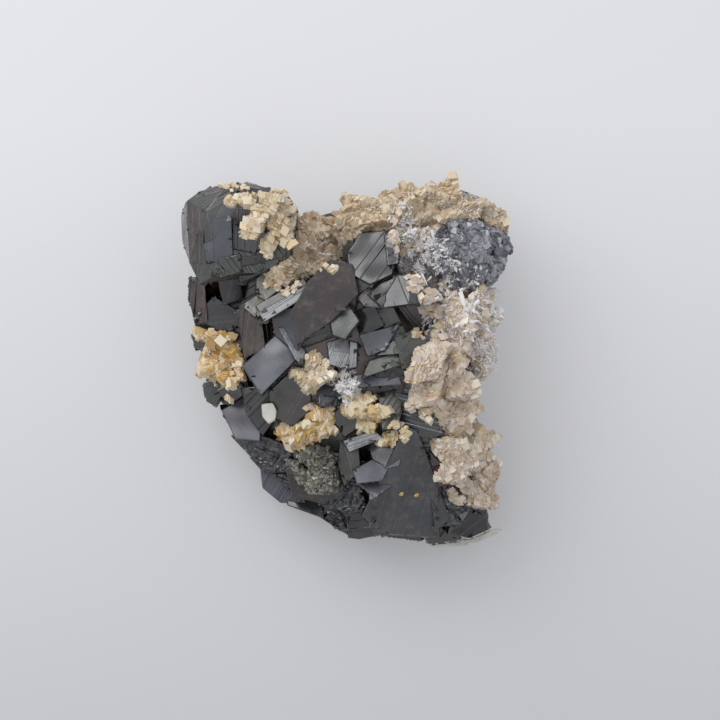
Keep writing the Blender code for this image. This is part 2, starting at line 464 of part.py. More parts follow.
def solid(name, hulls, cut_by=()):
    """The union of some hulls, less the grown hulls of what it grew on, as one closed body."""
    body = bpy.data.objects.new(name, hull_mesh(name, hulls[0]))
    bpy.context.scene.collection.objects.link(body)
    everything = [p for points in hulls for p in points]
    near = [grown(points, GAP) for points in cut_by if boxes_meet(grown(points, GAP), everything)]
    wanted = {"UNION": hulls[1:], "DIFFERENCE": near}
    helpers = []
    for operation, shapes in wanted.items():
        if shapes:
            helpers.append(helper_collection(name + operation, shapes))
            add_boolean(body, operation, helpers[-1])
    for solver, weld in TRIES:
        for modifier in body.modifiers:
            modifier.solver = solver
        bpy.context.view_layer.update()
        evaluated = body.evaluated_get(bpy.context.evaluated_depsgraph_get())
        mesh = bpy.data.meshes.new_from_object(evaluated)
        if largest_body(mesh, weld):
            break
    body.modifiers.clear()
    body.data = mesh
    for collection in helpers:
        remove_collection(collection)
    return body


def turned(points, turn, middle):
    """Points turned about the origin and set at a place."""
    return [middle + (turn @ p) for p in points]


def rhomb(size, turn, middle):
    """A cleavage rhomb of a carbonate, its six faces all alike."""
    lean = math.cos(math.radians(RHOMB_ANGLE))
    sides = [Vector((1, lean, 0)), Vector((lean, 1, lean)), Vector((0, lean, 1))]
    half = size / 2 * RHOMB_EDGE
    steps = (-half, half)
    corners = [sides[0] * i + sides[1] * j + sides[2] * k for i in steps for j in steps for k in steps]
    return turned(corners, turn, middle)


def quartz_point(length, thickness, turn, foot):
    """A six-sided quartz prism with a pyramid on it, its root in the rock."""
    corners = []
    for number in range(6):
        angle = math.radians(60 * number)
        side = Vector((math.cos(angle), math.sin(angle), 0)) * thickness / 2
        corners.append(side - Vector((0, 0, QUARTZ_ROOT * length)))
        corners.append(side + Vector((0, 0, QUARTZ_SHOULDER * length)))
    corners.append(Vector((0, 0, length)))
    return turned(corners, turn, foot)


def knob(size, turn, middle):
    """A cube with its corners cut off, as galena grows."""
    corners = []
    for i in (-1, 1):
        for j in (-1, 1):
            for k in (-KNOB_CUT, KNOB_CUT):
                corners += [Vector((i, j, k)), Vector((i, k, j)), Vector((k, i, j))]
    return turned([c * size / 2 for c in corners], turn, middle)


def inside(outline, x, y):
    """Whether a point lies in an outline."""
    crossed = False
    for (x1, y1), (x2, y2) in zip(outline, outline[1:] + outline[:1]):
        if (y1 > y) != (y2 > y) and x < x1 + (y - y1) * (x2 - x1) / (y2 - y1):
            crossed = not crossed
    return crossed


def surface_below(tree, x, y):
    """The height in millimetres and the normal of the rock under a place, or None twice beside it."""
    hit, normal = tree.ray_cast(Vector((x, y, FAR_OFF)) * MM, Vector((0, 0, -1)))[:2]
    return (None, None) if hit is None else (hit.z / MM, normal)


def any_turn(dice, lean=180.0):
    """A turn of up to so many degrees about X and Y, and any about Z."""
    about_x = math.radians(dice.uniform(-lean, lean))
    about_y = math.radians(dice.uniform(-lean, lean))
    return Euler((about_x, about_y, dice.uniform(0, math.tau))).to_matrix()


def rock_hulls():
    """The hulls of the rock, each through its rings."""
    hulls = []
    for rings in ROCK.values():
        hulls.append([Vector((x * ROCK_INSET, y * ROCK_INSET, z)) for z, ring in rings for x, y in ring])
    return hulls


def crystal_hulls():
    """The hulls of the crystals that show from above."""
    hulls = [flared(tilted_face(*face), CRYSTAL_DEPTH) for face in TOP_FACES.values()]
    return hulls + [flared([Vector(p) for p in corners], CRYSTAL_DEPTH) for corners in RIDGED.values()]


def block(sides, turn):
    """A crystal with six faces about the origin, one end narrower than the other."""
    corners = []
    for i in (-0.5, 0.5):
        for j in (-0.5, 0.5):
            corners.append(Vector((i * sides[0], j * sides[1], -0.5 * sides[2])))
            narrow_x, narrow_y = i * sides[0] * SIDE_TAPER[0], j * sides[1] * SIDE_TAPER[1]
            corners.append(Vector((narrow_x, narrow_y, 0.5 * sides[2])))
    return [turn @ c for c in corners]


def side_hulls():
    """Crystals all round the sides, turned every way, with their outer corners on the outline."""
    dice = random.Random(SIDE_SEED)
    hulls = []
    count = len(SIDE_OUTLINE)
    for height, number, share in SIDE_RINGS:
        for step in range(number):
            along = (step + dice.uniform(0.2, 0.8)) / number * count
            first = Vector(SIDE_OUTLINE[int(along) % count])
            second = Vector(SIDE_OUTLINE[(int(along) + 1) % count])
            edge = first.lerp(second, along % 1) * share
            outwards = (second - first).orthogonal().normalized()
            if outwards.dot(edge) < 0:
                outwards = -outwards
            size = dice.uniform(*SIDE_SIZES)
            slim = dice.uniform(*SIDE_SLIM), dice.uniform(*SIDE_SLIM)
            shape = block((size, size * slim[0], size * slim[1]), any_turn(dice, SIDE_TURN))
            reach = max(c.xy.dot(outwards) for c in shape)
            middle = edge - outwards * reach
            placed = [c + Vector((middle.x, middle.y, height)) for c in shape]
            hulls.append([Vector((c.x, c.y, max(c.z, SIDE_LOWEST))) for c in placed])
    return hulls


def places_in(outline, apart):
    """The rows of a grid over an outline, as (x, y) places, some of which lie beside it."""
    low_x, high_x = min(p[0] for p in outline), max(p[0] for p in outline)
    low_y, high_y = min(p[1] for p in outline), max(p[1] for p in outline)
    columns, rows = int((high_x - low_x) / apart) + 1, int((high_y - low_y) / apart) + 1
    steps = [(i + 0.5, j + 0.5) for j in range(rows) for i in range(columns)]
    return [(low_x + i * apart, low_y + j * apart) for i, j in steps]


def carbonate_hulls(tree, outline, size, apart, seed):
    """Rhombs over an outline on the rock, each a little turned from one common way."""
    dice = random.Random(seed)
    common = any_turn(dice, PATCH_TURN)
    hulls = []
    for x, y in places_in(outline, apart):
        farthest = RHOMB_SHIFT * apart
        shift = Vector((dice.uniform(-farthest, farthest), dice.uniform(-farthest, farthest)))
        across = size * dice.uniform(*RHOMB_SIZES)
        turn = common @ any_turn(dice, RHOMB_TURN)
        if not inside(outline, x, y):
            continue
        height = surface_below(tree, x + shift.x, y + shift.y)[0]
        if height is not None:
            hulls.append(rhomb(across, turn, Vector((x + shift.x, y + shift.y, height + RHOMB_LIFT * size))))
    return hulls


def wall_hulls(tree):
    """Rhombs on the specimen's right wall, where the crust hangs over its edge."""
    dice = random.Random(WALL_SEED)
    common = any_turn(dice, PATCH_TURN)
    hulls = []
    for first_y, last_y in WALL_STRETCHES:
        for step in range(int((first_y - last_y) / WALL_SPACING)):
            y = first_y - (step + dice.uniform(0.3, 0.7)) * WALL_SPACING
            z = WALL_HEIGHT + dice.uniform(-WALL_WANDER, WALL_WANDER)
            hit = tree.ray_cast(Vector((FAR_OFF, y, z)) * MM, Vector((-1, 0, 0)))[0]
            middle = Vector((hit.x / MM - WALL_ROOT, y, z))
            across = WALL_GRAIN * dice.uniform(*RHOMB_SIZES)
            hulls.append(rhomb(across, common @ any_turn(dice, RHOMB_TURN), middle))
    return hulls


def quartz_hulls(tree, middle, reach, number, length, thickness, seed):
    """A pad with quartz points that lean away from its middle."""
    dice = random.Random(seed)
    hulls = []
    pad = []
    sides = (-thickness, thickness)
    pad_corners = [Vector((i, j, k)) for i in sides for j in sides for k in PAD_HEIGHTS]
    for step in range(number):
        along = math.sqrt((step + 0.5) / number)
        angle = step * GOLDEN_ANGLE
        side = Vector((math.cos(angle) * reach[0], math.sin(angle) * reach[1])) * along
        x, y = middle[0] + side.x, middle[1] + side.y
        height, normal = surface_below(tree, x, y)
        if height is None:
            continue
        spread = Vector((side.x, side.y, 0)) * along / max(reach)
        along_point = normal + Vector((0, 0, QUARTZ_UPRIGHT)) + spread
        turn = along_point.to_track_quat("Z", "Y").to_matrix() @ any_turn(dice, QUARTZ_TURN)
        foot = Vector((x, y, height + PAD_HEIGHTS[1]))
        size = length * dice.uniform(*QUARTZ_LENGTHS), thickness * dice.uniform(*QUARTZ_WIDTHS)
        hulls.append(quartz_point(*size, turn, foot))
        pad += [foot + corner for corner in pad_corners]
    return [pad] + hulls


def knob_hulls(tree, middle, reach, rise, number, size, seed):
    """A round heap of knobs over the rock."""
    dice = random.Random(seed)
    hulls = []
    for step in range(number):
        along = math.sqrt((step + 0.5) / number)
        angle = step * GOLDEN_ANGLE
        x = middle[0] + math.cos(angle) * reach[0] * along
        y = middle[1] + math.sin(angle) * reach[1] * along
        height = surface_below(tree, x, y)[0]
        dome = rise - KNOB_SINK * along ** 2
        top = dome if height is None else max(dome, height + KNOB_CLEAR)
        across = size * dice.uniform(*KNOB_SIZES)
        hulls.append(knob(across, any_turn(dice), Vector((x, y, top - 0.5 * across))))
    core = []
    for share, depth in HEAP_RINGS:
        for step in range(HEAP_SIDES):
            angle = math.tau * step / HEAP_SIDES
            side = Vector((math.cos(angle) * reach[0], math.sin(angle) * reach[1])) * share
            core.append(Vector((middle[0] + side.x, middle[1] + side.y, rise - depth)))
    return [core] + hulls


def coat(body, material_name):
    """Gives a body its mineral's plain material."""
    red, green, blue, roughness, metallic = MATERIALS[material_name]
    material = bpy.data.materials.get(material_name) or bpy.data.materials.new(material_name)
    material.use_nodes = True
    shader = material.node_tree.nodes["Principled BSDF"]
    shader.inputs["Base Color"].default_value = (red, green, blue, 1)
    shader.inputs["Roughness"].default_value = roughness
    shader.inputs["Metallic"].default_value = metallic
    body.data.materials.clear()
    body.data.materials.append(material)


def centre_over_origin(bodies):
    """Moves every body alike, so that the origin is at the bottom centre of the whole."""
    corners = [v.co for body in bodies for v in body.data.vertices]
    low = [min(c[axis] for c in corners) for axis in range(3)]
    high = [max(c[axis] for c in corners) for axis in range(3)]
    shift = Vector((-(low[0] + high[0]) / 2, -(low[1] + high[1]) / 2, -low[2]))
    for body in bodies:
        for vertex in body.data.vertices:
            vertex.co += shift


def main():
    for old in list(bpy.data.objects):
        bpy.data.objects.remove(old)
    grew_on = rock_hulls() + crystal_hulls() + side_hulls()
    mass = solid("sphalerite_mass", grew_on)
    rock = mass.data
    tree = BVHTree.FromPolygons([v.co.copy() for v in rock.vertices], [p.vertices[:] for p in rock.polygons])
    minerals = {
        "galena_cluster": knob_hulls(tree, *GALENA),
        "pyrite_ball": knob_hulls(tree, *PYRITE),
        "calcite_foot": [[Vector(p) for p in lump] for lump in FOOT_LUMPS],
        "calcite_grain_white": [flared([Vector(p) for p in WHITE_GRAIN], 6)],
        **{name: quartz_hulls(tree, *druse) for name, druse in QUARTZ.items()},
    }
    for name, patches in CARBONATES.items():
        minerals[name] = [hull for patch in patches for hull in carbonate_hulls(tree, *patch)]
    minerals["carbonate_crust_right"] += wall_hulls(tree)
    bodies = [mass]
    for name, hulls in minerals.items():
        bodies.append(solid(name, hulls, grew_on))
        grew_on = grew_on + hulls
    for body in bodies:
        coat(body, NODE_MATERIAL[body.name])
    centre_over_origin(bodies)


main()
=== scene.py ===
"""Looks of the sphalerite specimen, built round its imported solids.

The dark crystals are cut from a copy of the solid: each flat face gets growth terraces along its own edges.
The small minerals are many copies of a few modelled crystals, set on the surfaces of the solids.
Places on the specimen are written as they are seen from above, in the picture's pixels, four to a millimetre.
"""

import math
import random

import bmesh
import bpy
import numpy as np
from mathutils import Euler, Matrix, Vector
from mathutils.bvhtree import BVHTree


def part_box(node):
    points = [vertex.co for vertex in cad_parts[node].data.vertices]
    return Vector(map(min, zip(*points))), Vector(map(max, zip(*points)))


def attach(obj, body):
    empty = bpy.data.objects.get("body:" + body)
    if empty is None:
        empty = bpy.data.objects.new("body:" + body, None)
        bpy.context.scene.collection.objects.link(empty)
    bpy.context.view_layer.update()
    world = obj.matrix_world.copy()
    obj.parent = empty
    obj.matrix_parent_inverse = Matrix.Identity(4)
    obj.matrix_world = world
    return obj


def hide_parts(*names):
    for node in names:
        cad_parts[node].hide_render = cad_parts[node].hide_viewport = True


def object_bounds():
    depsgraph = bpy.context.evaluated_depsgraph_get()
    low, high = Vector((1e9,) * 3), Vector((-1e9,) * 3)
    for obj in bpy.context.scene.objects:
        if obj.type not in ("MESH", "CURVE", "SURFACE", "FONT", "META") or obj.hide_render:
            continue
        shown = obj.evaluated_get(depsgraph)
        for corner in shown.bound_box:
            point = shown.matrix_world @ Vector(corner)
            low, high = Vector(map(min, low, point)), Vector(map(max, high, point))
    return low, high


bl_info = {
    "name": "Sphalerite Specimen",
    "version": (1, 0, 0),
    "blender": (4, 5, 0),
    "location": "3D View > Sidebar > Specimen",
    "description": "Dresses the solids of a sphalerite specimen with crystals",
    "category": "Add Mesh",
}

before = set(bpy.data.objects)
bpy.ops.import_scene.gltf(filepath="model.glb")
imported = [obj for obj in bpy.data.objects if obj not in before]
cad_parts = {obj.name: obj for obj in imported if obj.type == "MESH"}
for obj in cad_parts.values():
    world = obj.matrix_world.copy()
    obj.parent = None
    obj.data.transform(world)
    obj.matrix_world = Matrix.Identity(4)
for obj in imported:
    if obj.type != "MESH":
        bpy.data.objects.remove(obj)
LOW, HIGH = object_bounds()

MM = 0.001
BODY = "root"
PICTURE = 720              # pixels along each side of the picture
PIXEL = 0.25 * MM          # what one of them shows, at the height SCALE_HEIGHT
SCALE_HEIGHT = 0.022
FOOT_RIGHT_PX = 505.6      # the right and the near edge of the milky foot in the picture
FOOT_NEAR_PX = 549.0


def place(px, py):
    """The place on the specimen, seen from above, of a pixel of the picture."""
    low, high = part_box("calcite_foot")
    return Vector((high.x + (px - FOOT_RIGHT_PX) * PIXEL, low.y + (FOOT_NEAR_PX - py) * PIXEL))


def linear(hex_colour):
    """An sRGB hex colour as linear red, green, blue and alpha."""
    parts = [int(hex_colour[i:i + 2], 16) / 255 for i in (1, 3, 5)]
    return [p / 12.92 if p <= 0.04045 else ((p + 0.055) / 1.055) ** 2.4 for p in parts] + [1.0]


# Finishes of the sphalerite faces: base colour, roughness, and how strong the striation with its painted
# highlight lines, the dust of specks and the ripples are.
FINISHES = {
    "dark_brown": ("#1E1310", 0.2, 0.15, 0.3, 0.0),
    "black": ("#0C0B0D", 0.15, 0.1, 0.05, 0.0),
    "dark_grey": ("#1B1C21", 0.22, 0.2, 0.2, 0.0),
    "blue_grey": ("#2D323D", 0.28, 0.03, 0.1, 0.0),
    "lavender": ("#3F3E4B", 0.32, 0.04, 0.2, 0.0),
    "olive": ("#272C24", 0.26, 0.3, 0.4, 0.0),
    "pale_green": ("#50564B", 0.38, 0.15, 0.5, 0.05),
    "purple_brown": ("#241312", 0.3, 0.03, 0.9, 0.0),
    "red_brown": ("#42100F", 0.26, 0.03, 0.5, 0.0),
    "brown": ("#2F2018", 0.27, 0.3, 0.45, 0.0),
    "coated": ("#807F77", 0.5, 0.05, 1.0, 0.3),
    # painted highlight: a light grey colour for the facets that glint, standing in for the light that they
    # catch
    "painted_glint": ("#7A7C7F", 0.28, 0.6, 0.35, 0.05),
    "rough": ("#32343B", 0.42, 0.12, 1.0, 0.0),
    "fractured": ("#2B2C31", 0.22, 0.05, 0.3, 1.0),
}
SPHALERITE_SEED = 4
COMMON = ("dark_brown", "dark_grey", "dark_grey", "brown", "black", "olive", "purple_brown")
COMMON_SPACINGS = (0.0, 0.0, 1.5 * MM, 2.5 * MM)   # of the strips on faces that take a common finish
STRIATION_HIGHLIGHT = "#8E9096"         # painted highlights: the light lines painted along the striations where they catch the light
LINES_PER_METRE = 1800.0
LINE_SWAY = 0.0012         # metres that the lines wander
SPECK = "#7A6A58"          # the dusty specks
SPECK_SHARE = 0.55         # how much they cover

# How small crystals stand: how many mm share one turn, and the degrees that each may be turned from it.
INFILL_TURNS = (7.0, 7)
CRUST_TURNS = (5.0, 12)
LOOSE_TURNS = (6, 18)
HEAP_TURNS = (3.0, 40)

# Small sphalerite crystals between the large faces: how many are tried, smallest and largest in mm, and their
# spacing as a share of the size.
INFILL = (24000, (0.9, 3.0), 0.7)
INFILL_STEEPEST = 0.82     # they grow only on faces whose normal rises less than this
INFILL_OVERHANG = -0.5     # and more than this
INFILL_LOWEST = 3.5 * MM   # and above this height
INFILL_SURFACE = (0.24, 0.2, 0.3, 0.1)   # roughness, striation with its painted highlight lines, dust and ripples
INFILL_COLOURS = ("#1B1716", "#232428", "#2A2422", "#17181B", "#2E2F33", "#2B2E29", "#201A1C")
INFILL_SEED = 43
SLOPE_CORNER = (334, 424)  # the pixel up and right of the slope at the lower left, which has none

# Faces that are listed: a pixel on the face, its finish, the way of its striations in degrees, and
# the spacing of its strips in mm.
FACES = {
    "left_plate": (225, 245, "blue_grey", 85, 0.0),
    "left_long_face": (199, 250, "olive", 80, 0.8),
    "left_back_facet": (205, 203, "olive", 20, 0.0),
    "left_far_facet": (187, 226, "dark_brown", 80, 0.0),
    "left_pink_facet": (212, 254, "lavender", 80, 0.0),
    "left_ledge_high": (231, 266, "olive", 125, 0.7),
    "left_ledge_low": (255, 268, "olive", 125, 0.7),
    "left_mottled": (215, 228, "dark_grey", 60, 0.0),
    "recess_blade": (230, 287, "dark_grey", 85, 0.0),
    "left_strip": (198, 298, "brown", 75, 1.2),
    "left_point": (220, 326, "dark_grey", 10, 0.0),
    "left_slab": (250, 331, "brown", 80, 0.9),
    "left_lobe": (197, 338, "dark_grey", 30, 0.0),
    "pale_quad": (258, 306, "coated", 45, 0.0),
    "grainy_facet": (272, 281, "coated", 50, 0.0),
    "rhombic_face": (273, 362, "blue_grey", 45, 0.0),
    "rhombic_ridge": (293, 346, "painted_glint", 50, 0.5),
    "central_face": (320, 300, "purple_brown", 45, 0.0),
    "central_left_face": (286, 328, "blue_grey", 60, 0.0),
    "central_ledge_high": (290, 300, "painted_glint", 35, 0.45),
    "red_pit": (315, 347, "red_brown", 45, 0.0),
    "centre_grey_facet": (342, 322, "olive", 60, 0.0),
    "bright_facet": (341, 352, "painted_glint", 70, 0.6),
    "bright_lath": (353, 355, "painted_glint", 80, 0.0),
    "upper_dark_crystal": (368, 258, "black", 55, 2.0),
    "upper_bright_lath": (391, 250, "painted_glint", 80, 0.7),
    "upper_grey_facet": (348, 260, "olive", 60, 0.0),
    "hollow_face": (363, 294, "dark_brown", 40, 0.0),
    "wedge_left": (393, 294, "dark_grey", 60, 0.0),
    "wedge_right": (424, 299, "blue_grey", 60, 0.0),
    "wedge_floor": (404, 316, "dark_brown", 10, 0.0),
    "centre_dark_face": (367, 320, "black", 40, 0.0),
    "blue_facet": (378, 343, "blue_grey", 30, 0.0),
    "green_triangle": (391, 348, "pale_green", 40, 0.0),
    "green_facet": (383, 366, "pale_green", 20, 0.0),
    "black_triangle": (388, 371, "black", 10, 0.0),
    "grey_lath": (375, 380, "lavender", 0, 0.0),
    "green_dark_face": (412, 350, "olive", 30, 0.0),
    "right_dark_face": (405, 377, "dark_brown", 20, 0.0),
    "round_crystal": (433, 338, "dark_grey", 20, 0.0),
    "striated_lath": (390, 407, "olive", 60, 0.7),
    "brown_face": (415, 407, "brown", 125, 1.0),
    "ledge_upper": (423, 434, "dark_grey", 170, 0.6),
    "ledge_middle": (423, 441, "dark_brown", 170, 0.6),
    "ledge_lower": (423, 448, "dark_grey", 170, 0.6),
    "lower_right_crystal": (448, 466, "red_brown", 35, 0.9),
    "left_dark_crystal": (290, 399, "dark_brown", 60, 0.0),
    "black_cube_upper": (327, 391, "blue_grey", 60, 0.0),
    "low_left_blue_face": (240, 420, "lavender", 35, 0.0),
    "low_left_green_facet": (211, 392, "olive", 60, 0.0),
    "low_left_plate": (232, 391, "black", 20, 0.0),
    "low_left_dark_face": (262, 408, "dark_grey", 45, 2.0),
    "slope_a": (252, 445, "fractured", 150, 1.6),
    "slope_b": (275, 452, "fractured", 150, 1.7),
    "slope_c": (283, 485, "fractured", 60, 1.6),
    "purple_slope": (308, 482, "purple_brown", 20, 0.0),
    "pale_slope": (303, 503, "lavender", 60, 0.6),
    "slope_d": (335, 520, "fractured", 50, 1.5),
    "slope_e": (345, 495, "fractured", 50, 2.0),
    "lavender_facet": (372, 470, "lavender", 35, 0.0),
    "lavender_slope": (378, 481, "lavender", 35, 0.0),
    "rough_face": (408, 490, "rough", 80, 0.0),
    "blue_side_face": (441, 504, "dark_grey", 60, 0.0),
    "low_bright_lath": (362, 439, "painted_glint", 20, 0.5),
    "lower_right_mass": (455, 495, "fractured", 40, 1.6),
    "lower_right_corner": (470, 525, "black", 40, 1.6),
    "centre_dark_step": (346, 412, "dark_brown", 70, 0.0),
    "low_centre_face": (388, 450, "dark_grey", 60, 0.0),
    "right_shelf": (444, 372, "dark_brown", 30, 0.0),
}

# The seen face and its neighbours in the same plane are one face.
SAME_FACE_REACH = 16 * MM
SAME_FACE_STEP = 0.1 * MM
SAME_FACE_TURN = 0.9998

# Growth terraces. A strip with a sharper corner stays plain, because its terrace would shoot out there.
TERRACE_RIM = 0.14 * MM
SMALLEST_FACE = 4 * MM * MM
SMALLEST_STRIP = 0.3 * MM * MM
SHARPEST_CORNER = math.radians(12)
UNDERSIDE = -0.9           # faces whose normal points lower than this have none

# Colours of the small minerals, each a list from which every crystal takes one.
CREAM = ("#E0D2B8", "#E8DDC6", "#D9C7A6", "#D2BC9A", "#DDD0BC", "#CDB999")
SANDY = ("#D3C0A2", "#C9B295", "#DCCDB3", "#BEA88C", "#D9CBB6")
PINKISH = ("#D9CBBB", "#D2C1B1", "#E0D4C3", "#C9B6A5", "#E6DACA", "#D4BFA0")
OCHRE = ("#E0C59A", "#D6B382", "#E6D5B2", "#C9A36C", "#E4D9C0", "#DCC6A2", "#CDA85E", "#E2D3B8")
YELLOW = ("#D9BC7A", "#CBA65C")
LEMON = ("#E0CEAB", "#E9DCC2", "#D6C099", "#E4D7BB", "#D9C08E")

# Crusts of carbonate rhombs: slot, colours, smallest and largest grain in mm, spacing as a share of the size,
# and seed.
CRUSTS = {
    "carbonate_crust_upper": ("carbonate_cream", SANDY, (0.8, 2.1), 0.62, 3),
    "carbonate_crust_right": ("carbonate_cream", PINKISH, (0.8, 2.2), 0.62, 5),
    "carbonate_patch_upper_left": ("carbonate_cream", CREAM, (0.8, 2.1), 0.62, 7),
    "ochre_cluster_left": ("carbonate_ochre", OCHRE, (0.9, 2.6), 0.64, 9),
    "cream_cluster_centre": ("carbonate_cream", CREAM, (0.8, 2.0), 0.6, 11),
    "cream_cluster_low_centre": ("carbonate_cream", LEMON, (0.9, 2.3), 0.62, 13),
    "ochre_cluster_lower": ("carbonate_ochre", OCHRE, (0.9, 2.2), 0.6, 15),
    "yellow_clot": ("carbonate_ochre", LEMON, (0.9, 2.0), 0.62, 17),
}

CRUST_CELL = 0.25          # one rhomb is tried on each such share of the smallest grain's square
CRUST_ROOM = 2.0           # mm of free room that a rhomb needs
CRUST_SINK = 0.18          # how much of a rhomb is sunk in the ground
RHOMB_SIDES = (0.8, 1.1)   # the shortest and the longest side as shares of the size
RHOMB_SHADES = (0.85, 1.12)

# Loose rhombs on the dark crystals beside the crusts: middle pixel, reach in pixels, how many, largest in mm,
# colours.
SPRINKLED = [
    ((242, 187), (20, 6), 60, 1.7, CREAM), ((236, 203), (9, 5), 22, 1.6, CREAM),
    ((282, 205), (14, 16), 110, 1.7, SANDY), ((290, 224), (9, 14), 70, 1.6, SANDY),
    ((262, 208), (16, 12), 60, 1.5, CREAM), ((330, 232), (30, 14), 170, 1.5, SANDY),
    ((312, 262), (16, 14), 110, 1.5, SANDY), ((284, 284), (18, 12), 80, 1.4, SANDY),
    ((345, 210), (12, 9), 60, 1.6, SANDY), ((400, 206), (40, 14), 190, 1.8, SANDY),
    ((470, 206), (24, 14), 90, 2.0, SANDY), ((398, 240), (10, 14), 50, 1.7, PINKISH),
    ((414, 283), (8, 10), 40, 1.8, PINKISH), ((440, 302), (22, 16), 120, 2.0, PINKISH),
    ((452, 340), (20, 22), 190, 2.0, PINKISH), ((436, 374), (9, 15), 70, 1.9, CREAM),
    ((432, 406), (14, 17), 90, 1.9, CREAM), ((466, 400), (18, 26), 170, 2.0, PINKISH),
    ((460, 450), (22, 24), 180, 2.0, PINKISH), ((466, 490), (20, 14), 110, 1.9, PINKISH),
    ((480, 194), (22, 12), 110, 1.6, PINKISH), ((498, 216), (8, 16), 50, 1.6, CREAM),
    ((418, 334), (7, 6), 14, 2.0, SANDY), ((313, 409), (8, 6), 26, 1.5, CREAM),
    ((329, 410), (5, 4), 12, 1.4, CREAM), ((232, 398), (5, 2), 8, 1.5, LEMON),
    ((402, 493), (1, 1), 2, 0.9, YELLOW), ((417, 494), (1, 1), 2, 0.9, YELLOW),
    ((334, 270), (5, 3), 10, 1.4, CREAM), ((424, 348), (2, 2), 2, 1.8, CREAM),
    ((397, 432), (12, 9), 40, 1.7, LEMON), ((226, 372), (18, 16), 60, 1.8, OCHRE),
    ((208, 336), (8, 8), 22, 1.7, OCHRE), ((300, 434), (28, 10), 70, 1.6, OCHRE),
]
SPRINKLED_SEED = 47
SPRINKLED_SMALLEST = 0.7   # mm
SPRINKLED_STEEPEST = 0.25  # they lie only on faces whose normal rises more than this
LOWEST_FOOT = 6 * MM       # nothing loose and no needle stands lower than this

# Quartz druses, each of patches of needles: middle pixel, reach in pixels, how many, shortest and longest in
# mm, and how much they lean outwards.
DRUSES = {
    "quartz_spray_upper_right": [
        ((398, 213), (15, 12), 100, (1.2, 3.2), 0.6), ((408, 229), (14, 13), 140, (1.4, 3.4), 0.6),
        ((419, 241), (15, 13), 160, (1.5, 3.6), 0.6), ((432, 250), (15, 13), 160, (1.5, 3.6), 0.6),
        ((446, 262), (12, 10), 120, (1.4, 3.4), 0.6), ((420, 266), (20, 12), 110, (1.3, 3.2), 0.6),
        ((316, 250), (14, 11), 60, (1.2, 2.8), 0.9), ((438, 276), (20, 9), 110, (1.3, 3.2), 0.9)],
    "quartz_druse_right": [
        ((462, 303), (38, 38), 420, (1.3, 4.0), 1.0), ((484, 366), (15, 25), 320, (1.1, 3.0), 0.8),
        ((494, 300), (8, 22), 50, (2.4, 4.6), 1.4), ((426, 325), (4, 7), 9, (1.8, 3.4), 0.6),
        ((472, 425), (24, 34), 150, (0.8, 2.0), 0.8), ((474, 475), (20, 26), 90, (0.8, 2.0), 0.8),
        ((480, 205), (26, 14), 230, (0.8, 2.2), 0.7), ((440, 212), (26, 14), 170, (0.8, 2.0), 0.7),
        ((410, 196), (20, 8), 70, (0.7, 1.6), 0.7)],
    "quartz_druse_centre": [((347, 384), (13, 16), 140, (1.0, 2.7), 0.8)],
}
QUARTZ_SEED = 19
NEEDLE_WAYS = (0.4, 0.3, 0.9)   # how much a needle follows the ground's normal, straight up, and chance
NEEDLE_FLATTEST = 0.1           # the least that it rises
NEEDLE_WIDTHS = (0.6, 1.3)      # its thickness as shares of what is set
SHORT_WIDTHS = (0.9, 1.6)
DRUSE_CELL = 0.45 * MM * MM     # the ground that each of the short points all over the quartz has
DRUSE_LENGTHS = (1.0, 2.4)      # their lengths in mm
QUARTZ_COLOURS = ("#FBFAFA", "#F6F2F4", "#F2ECEA", "#FAF8F2", "#EDE6E4")
GALENA_COLOURS = ("#9A9AA0", "#898A91", "#ABABB0", "#75767D", "#949499", "#66676D")
PYRITE_COLOURS = ("#7A776D", "#66645B", "#8F8C80", "#A8A496", "#4A4844", "#85837A")

# Heaps of small metallic crystals: the piece, its slot, smallest and largest in mm, how many, colours, seed.
HEAPS = {
    "galena_cluster": ("galena_druse", "galena", (0.6, 2.1), 1700, GALENA_COLOURS, 23),
    "pyrite_ball": ("pyrite_grains", "pyrite_grey", (0.35, 1.1), 2300, PYRITE_COLOURS, 29),
}

# The light: a tent all round, brighter overhead and at the far side, and one soft lamp for the glints.
TENT_LEVEL = 0.5
TENT_SLOPE = (0.0, 0.3, 0.34)
TENT_PATCHES = 0.22        # how much its cloth is brighter or darker from place to place
LAMP_PLACE = (-0.26, 0.3, 0.36)
LAMP_AIM = (0, 0, 0.02)
LAMP_SIZE = (0.5, 0.35)
SHEET_PAINTED_GLOW = (0.14, 0.3)   # painted light: how strongly the sheet glows at the near and at the far end, in place of the light's falloff
LENS, SENSOR = 250.0, 36.0


# Materials
def add_node(material, kind, settings=None, **links):
    """Adds a shader node with its settings, and links or sets its inputs, spaces written as underscores."""
    node = material.node_tree.nodes.new(kind)
    for key, value in (settings or {}).items():
        setattr(node, key, value)
    for key, value in links.items():
        numbered = key[0] == "i" and key[1:].isdigit()
        socket = node.inputs[int(key[1:]) if numbered else key.replace("_", " ")]
        if isinstance(value, bpy.types.NodeSocket):
            material.node_tree.links.new(value, socket)
        else:
            socket.default_value = value
    return node


def maths(material, operation, *values):
    """The result of a Math node on some values or sockets."""
    inputs = {f"i{number}": value for number, value in enumerate(values)}
    return add_node(material, "ShaderNodeMath", {"operation": operation}, **inputs).outputs["Value"]


def ranged(material, value, start, end, low=0.0, high=1.0):
    """A value brought from its own range to another one."""
    return add_node(material, "ShaderNodeMapRange", Value=value, From_Min=start, From_Max=end, To_Min=low,
                    To_Max=high).outputs["Result"]


def mixed(material, share, first, second):
    """Two colours mixed by the share of the second."""
    mix = add_node(material, "ShaderNodeMix", {"data_type": "RGBA"}, i0=share, i6=first, i7=second)
    return mix.outputs[2]


def scaled(material, colour, factor):
    """A colour made darker or brighter by a factor."""
    return add_node(material, "ShaderNodeVectorMath", {"operation": "SCALE"}, i0=colour,
                    Scale=factor).outputs["Vector"]


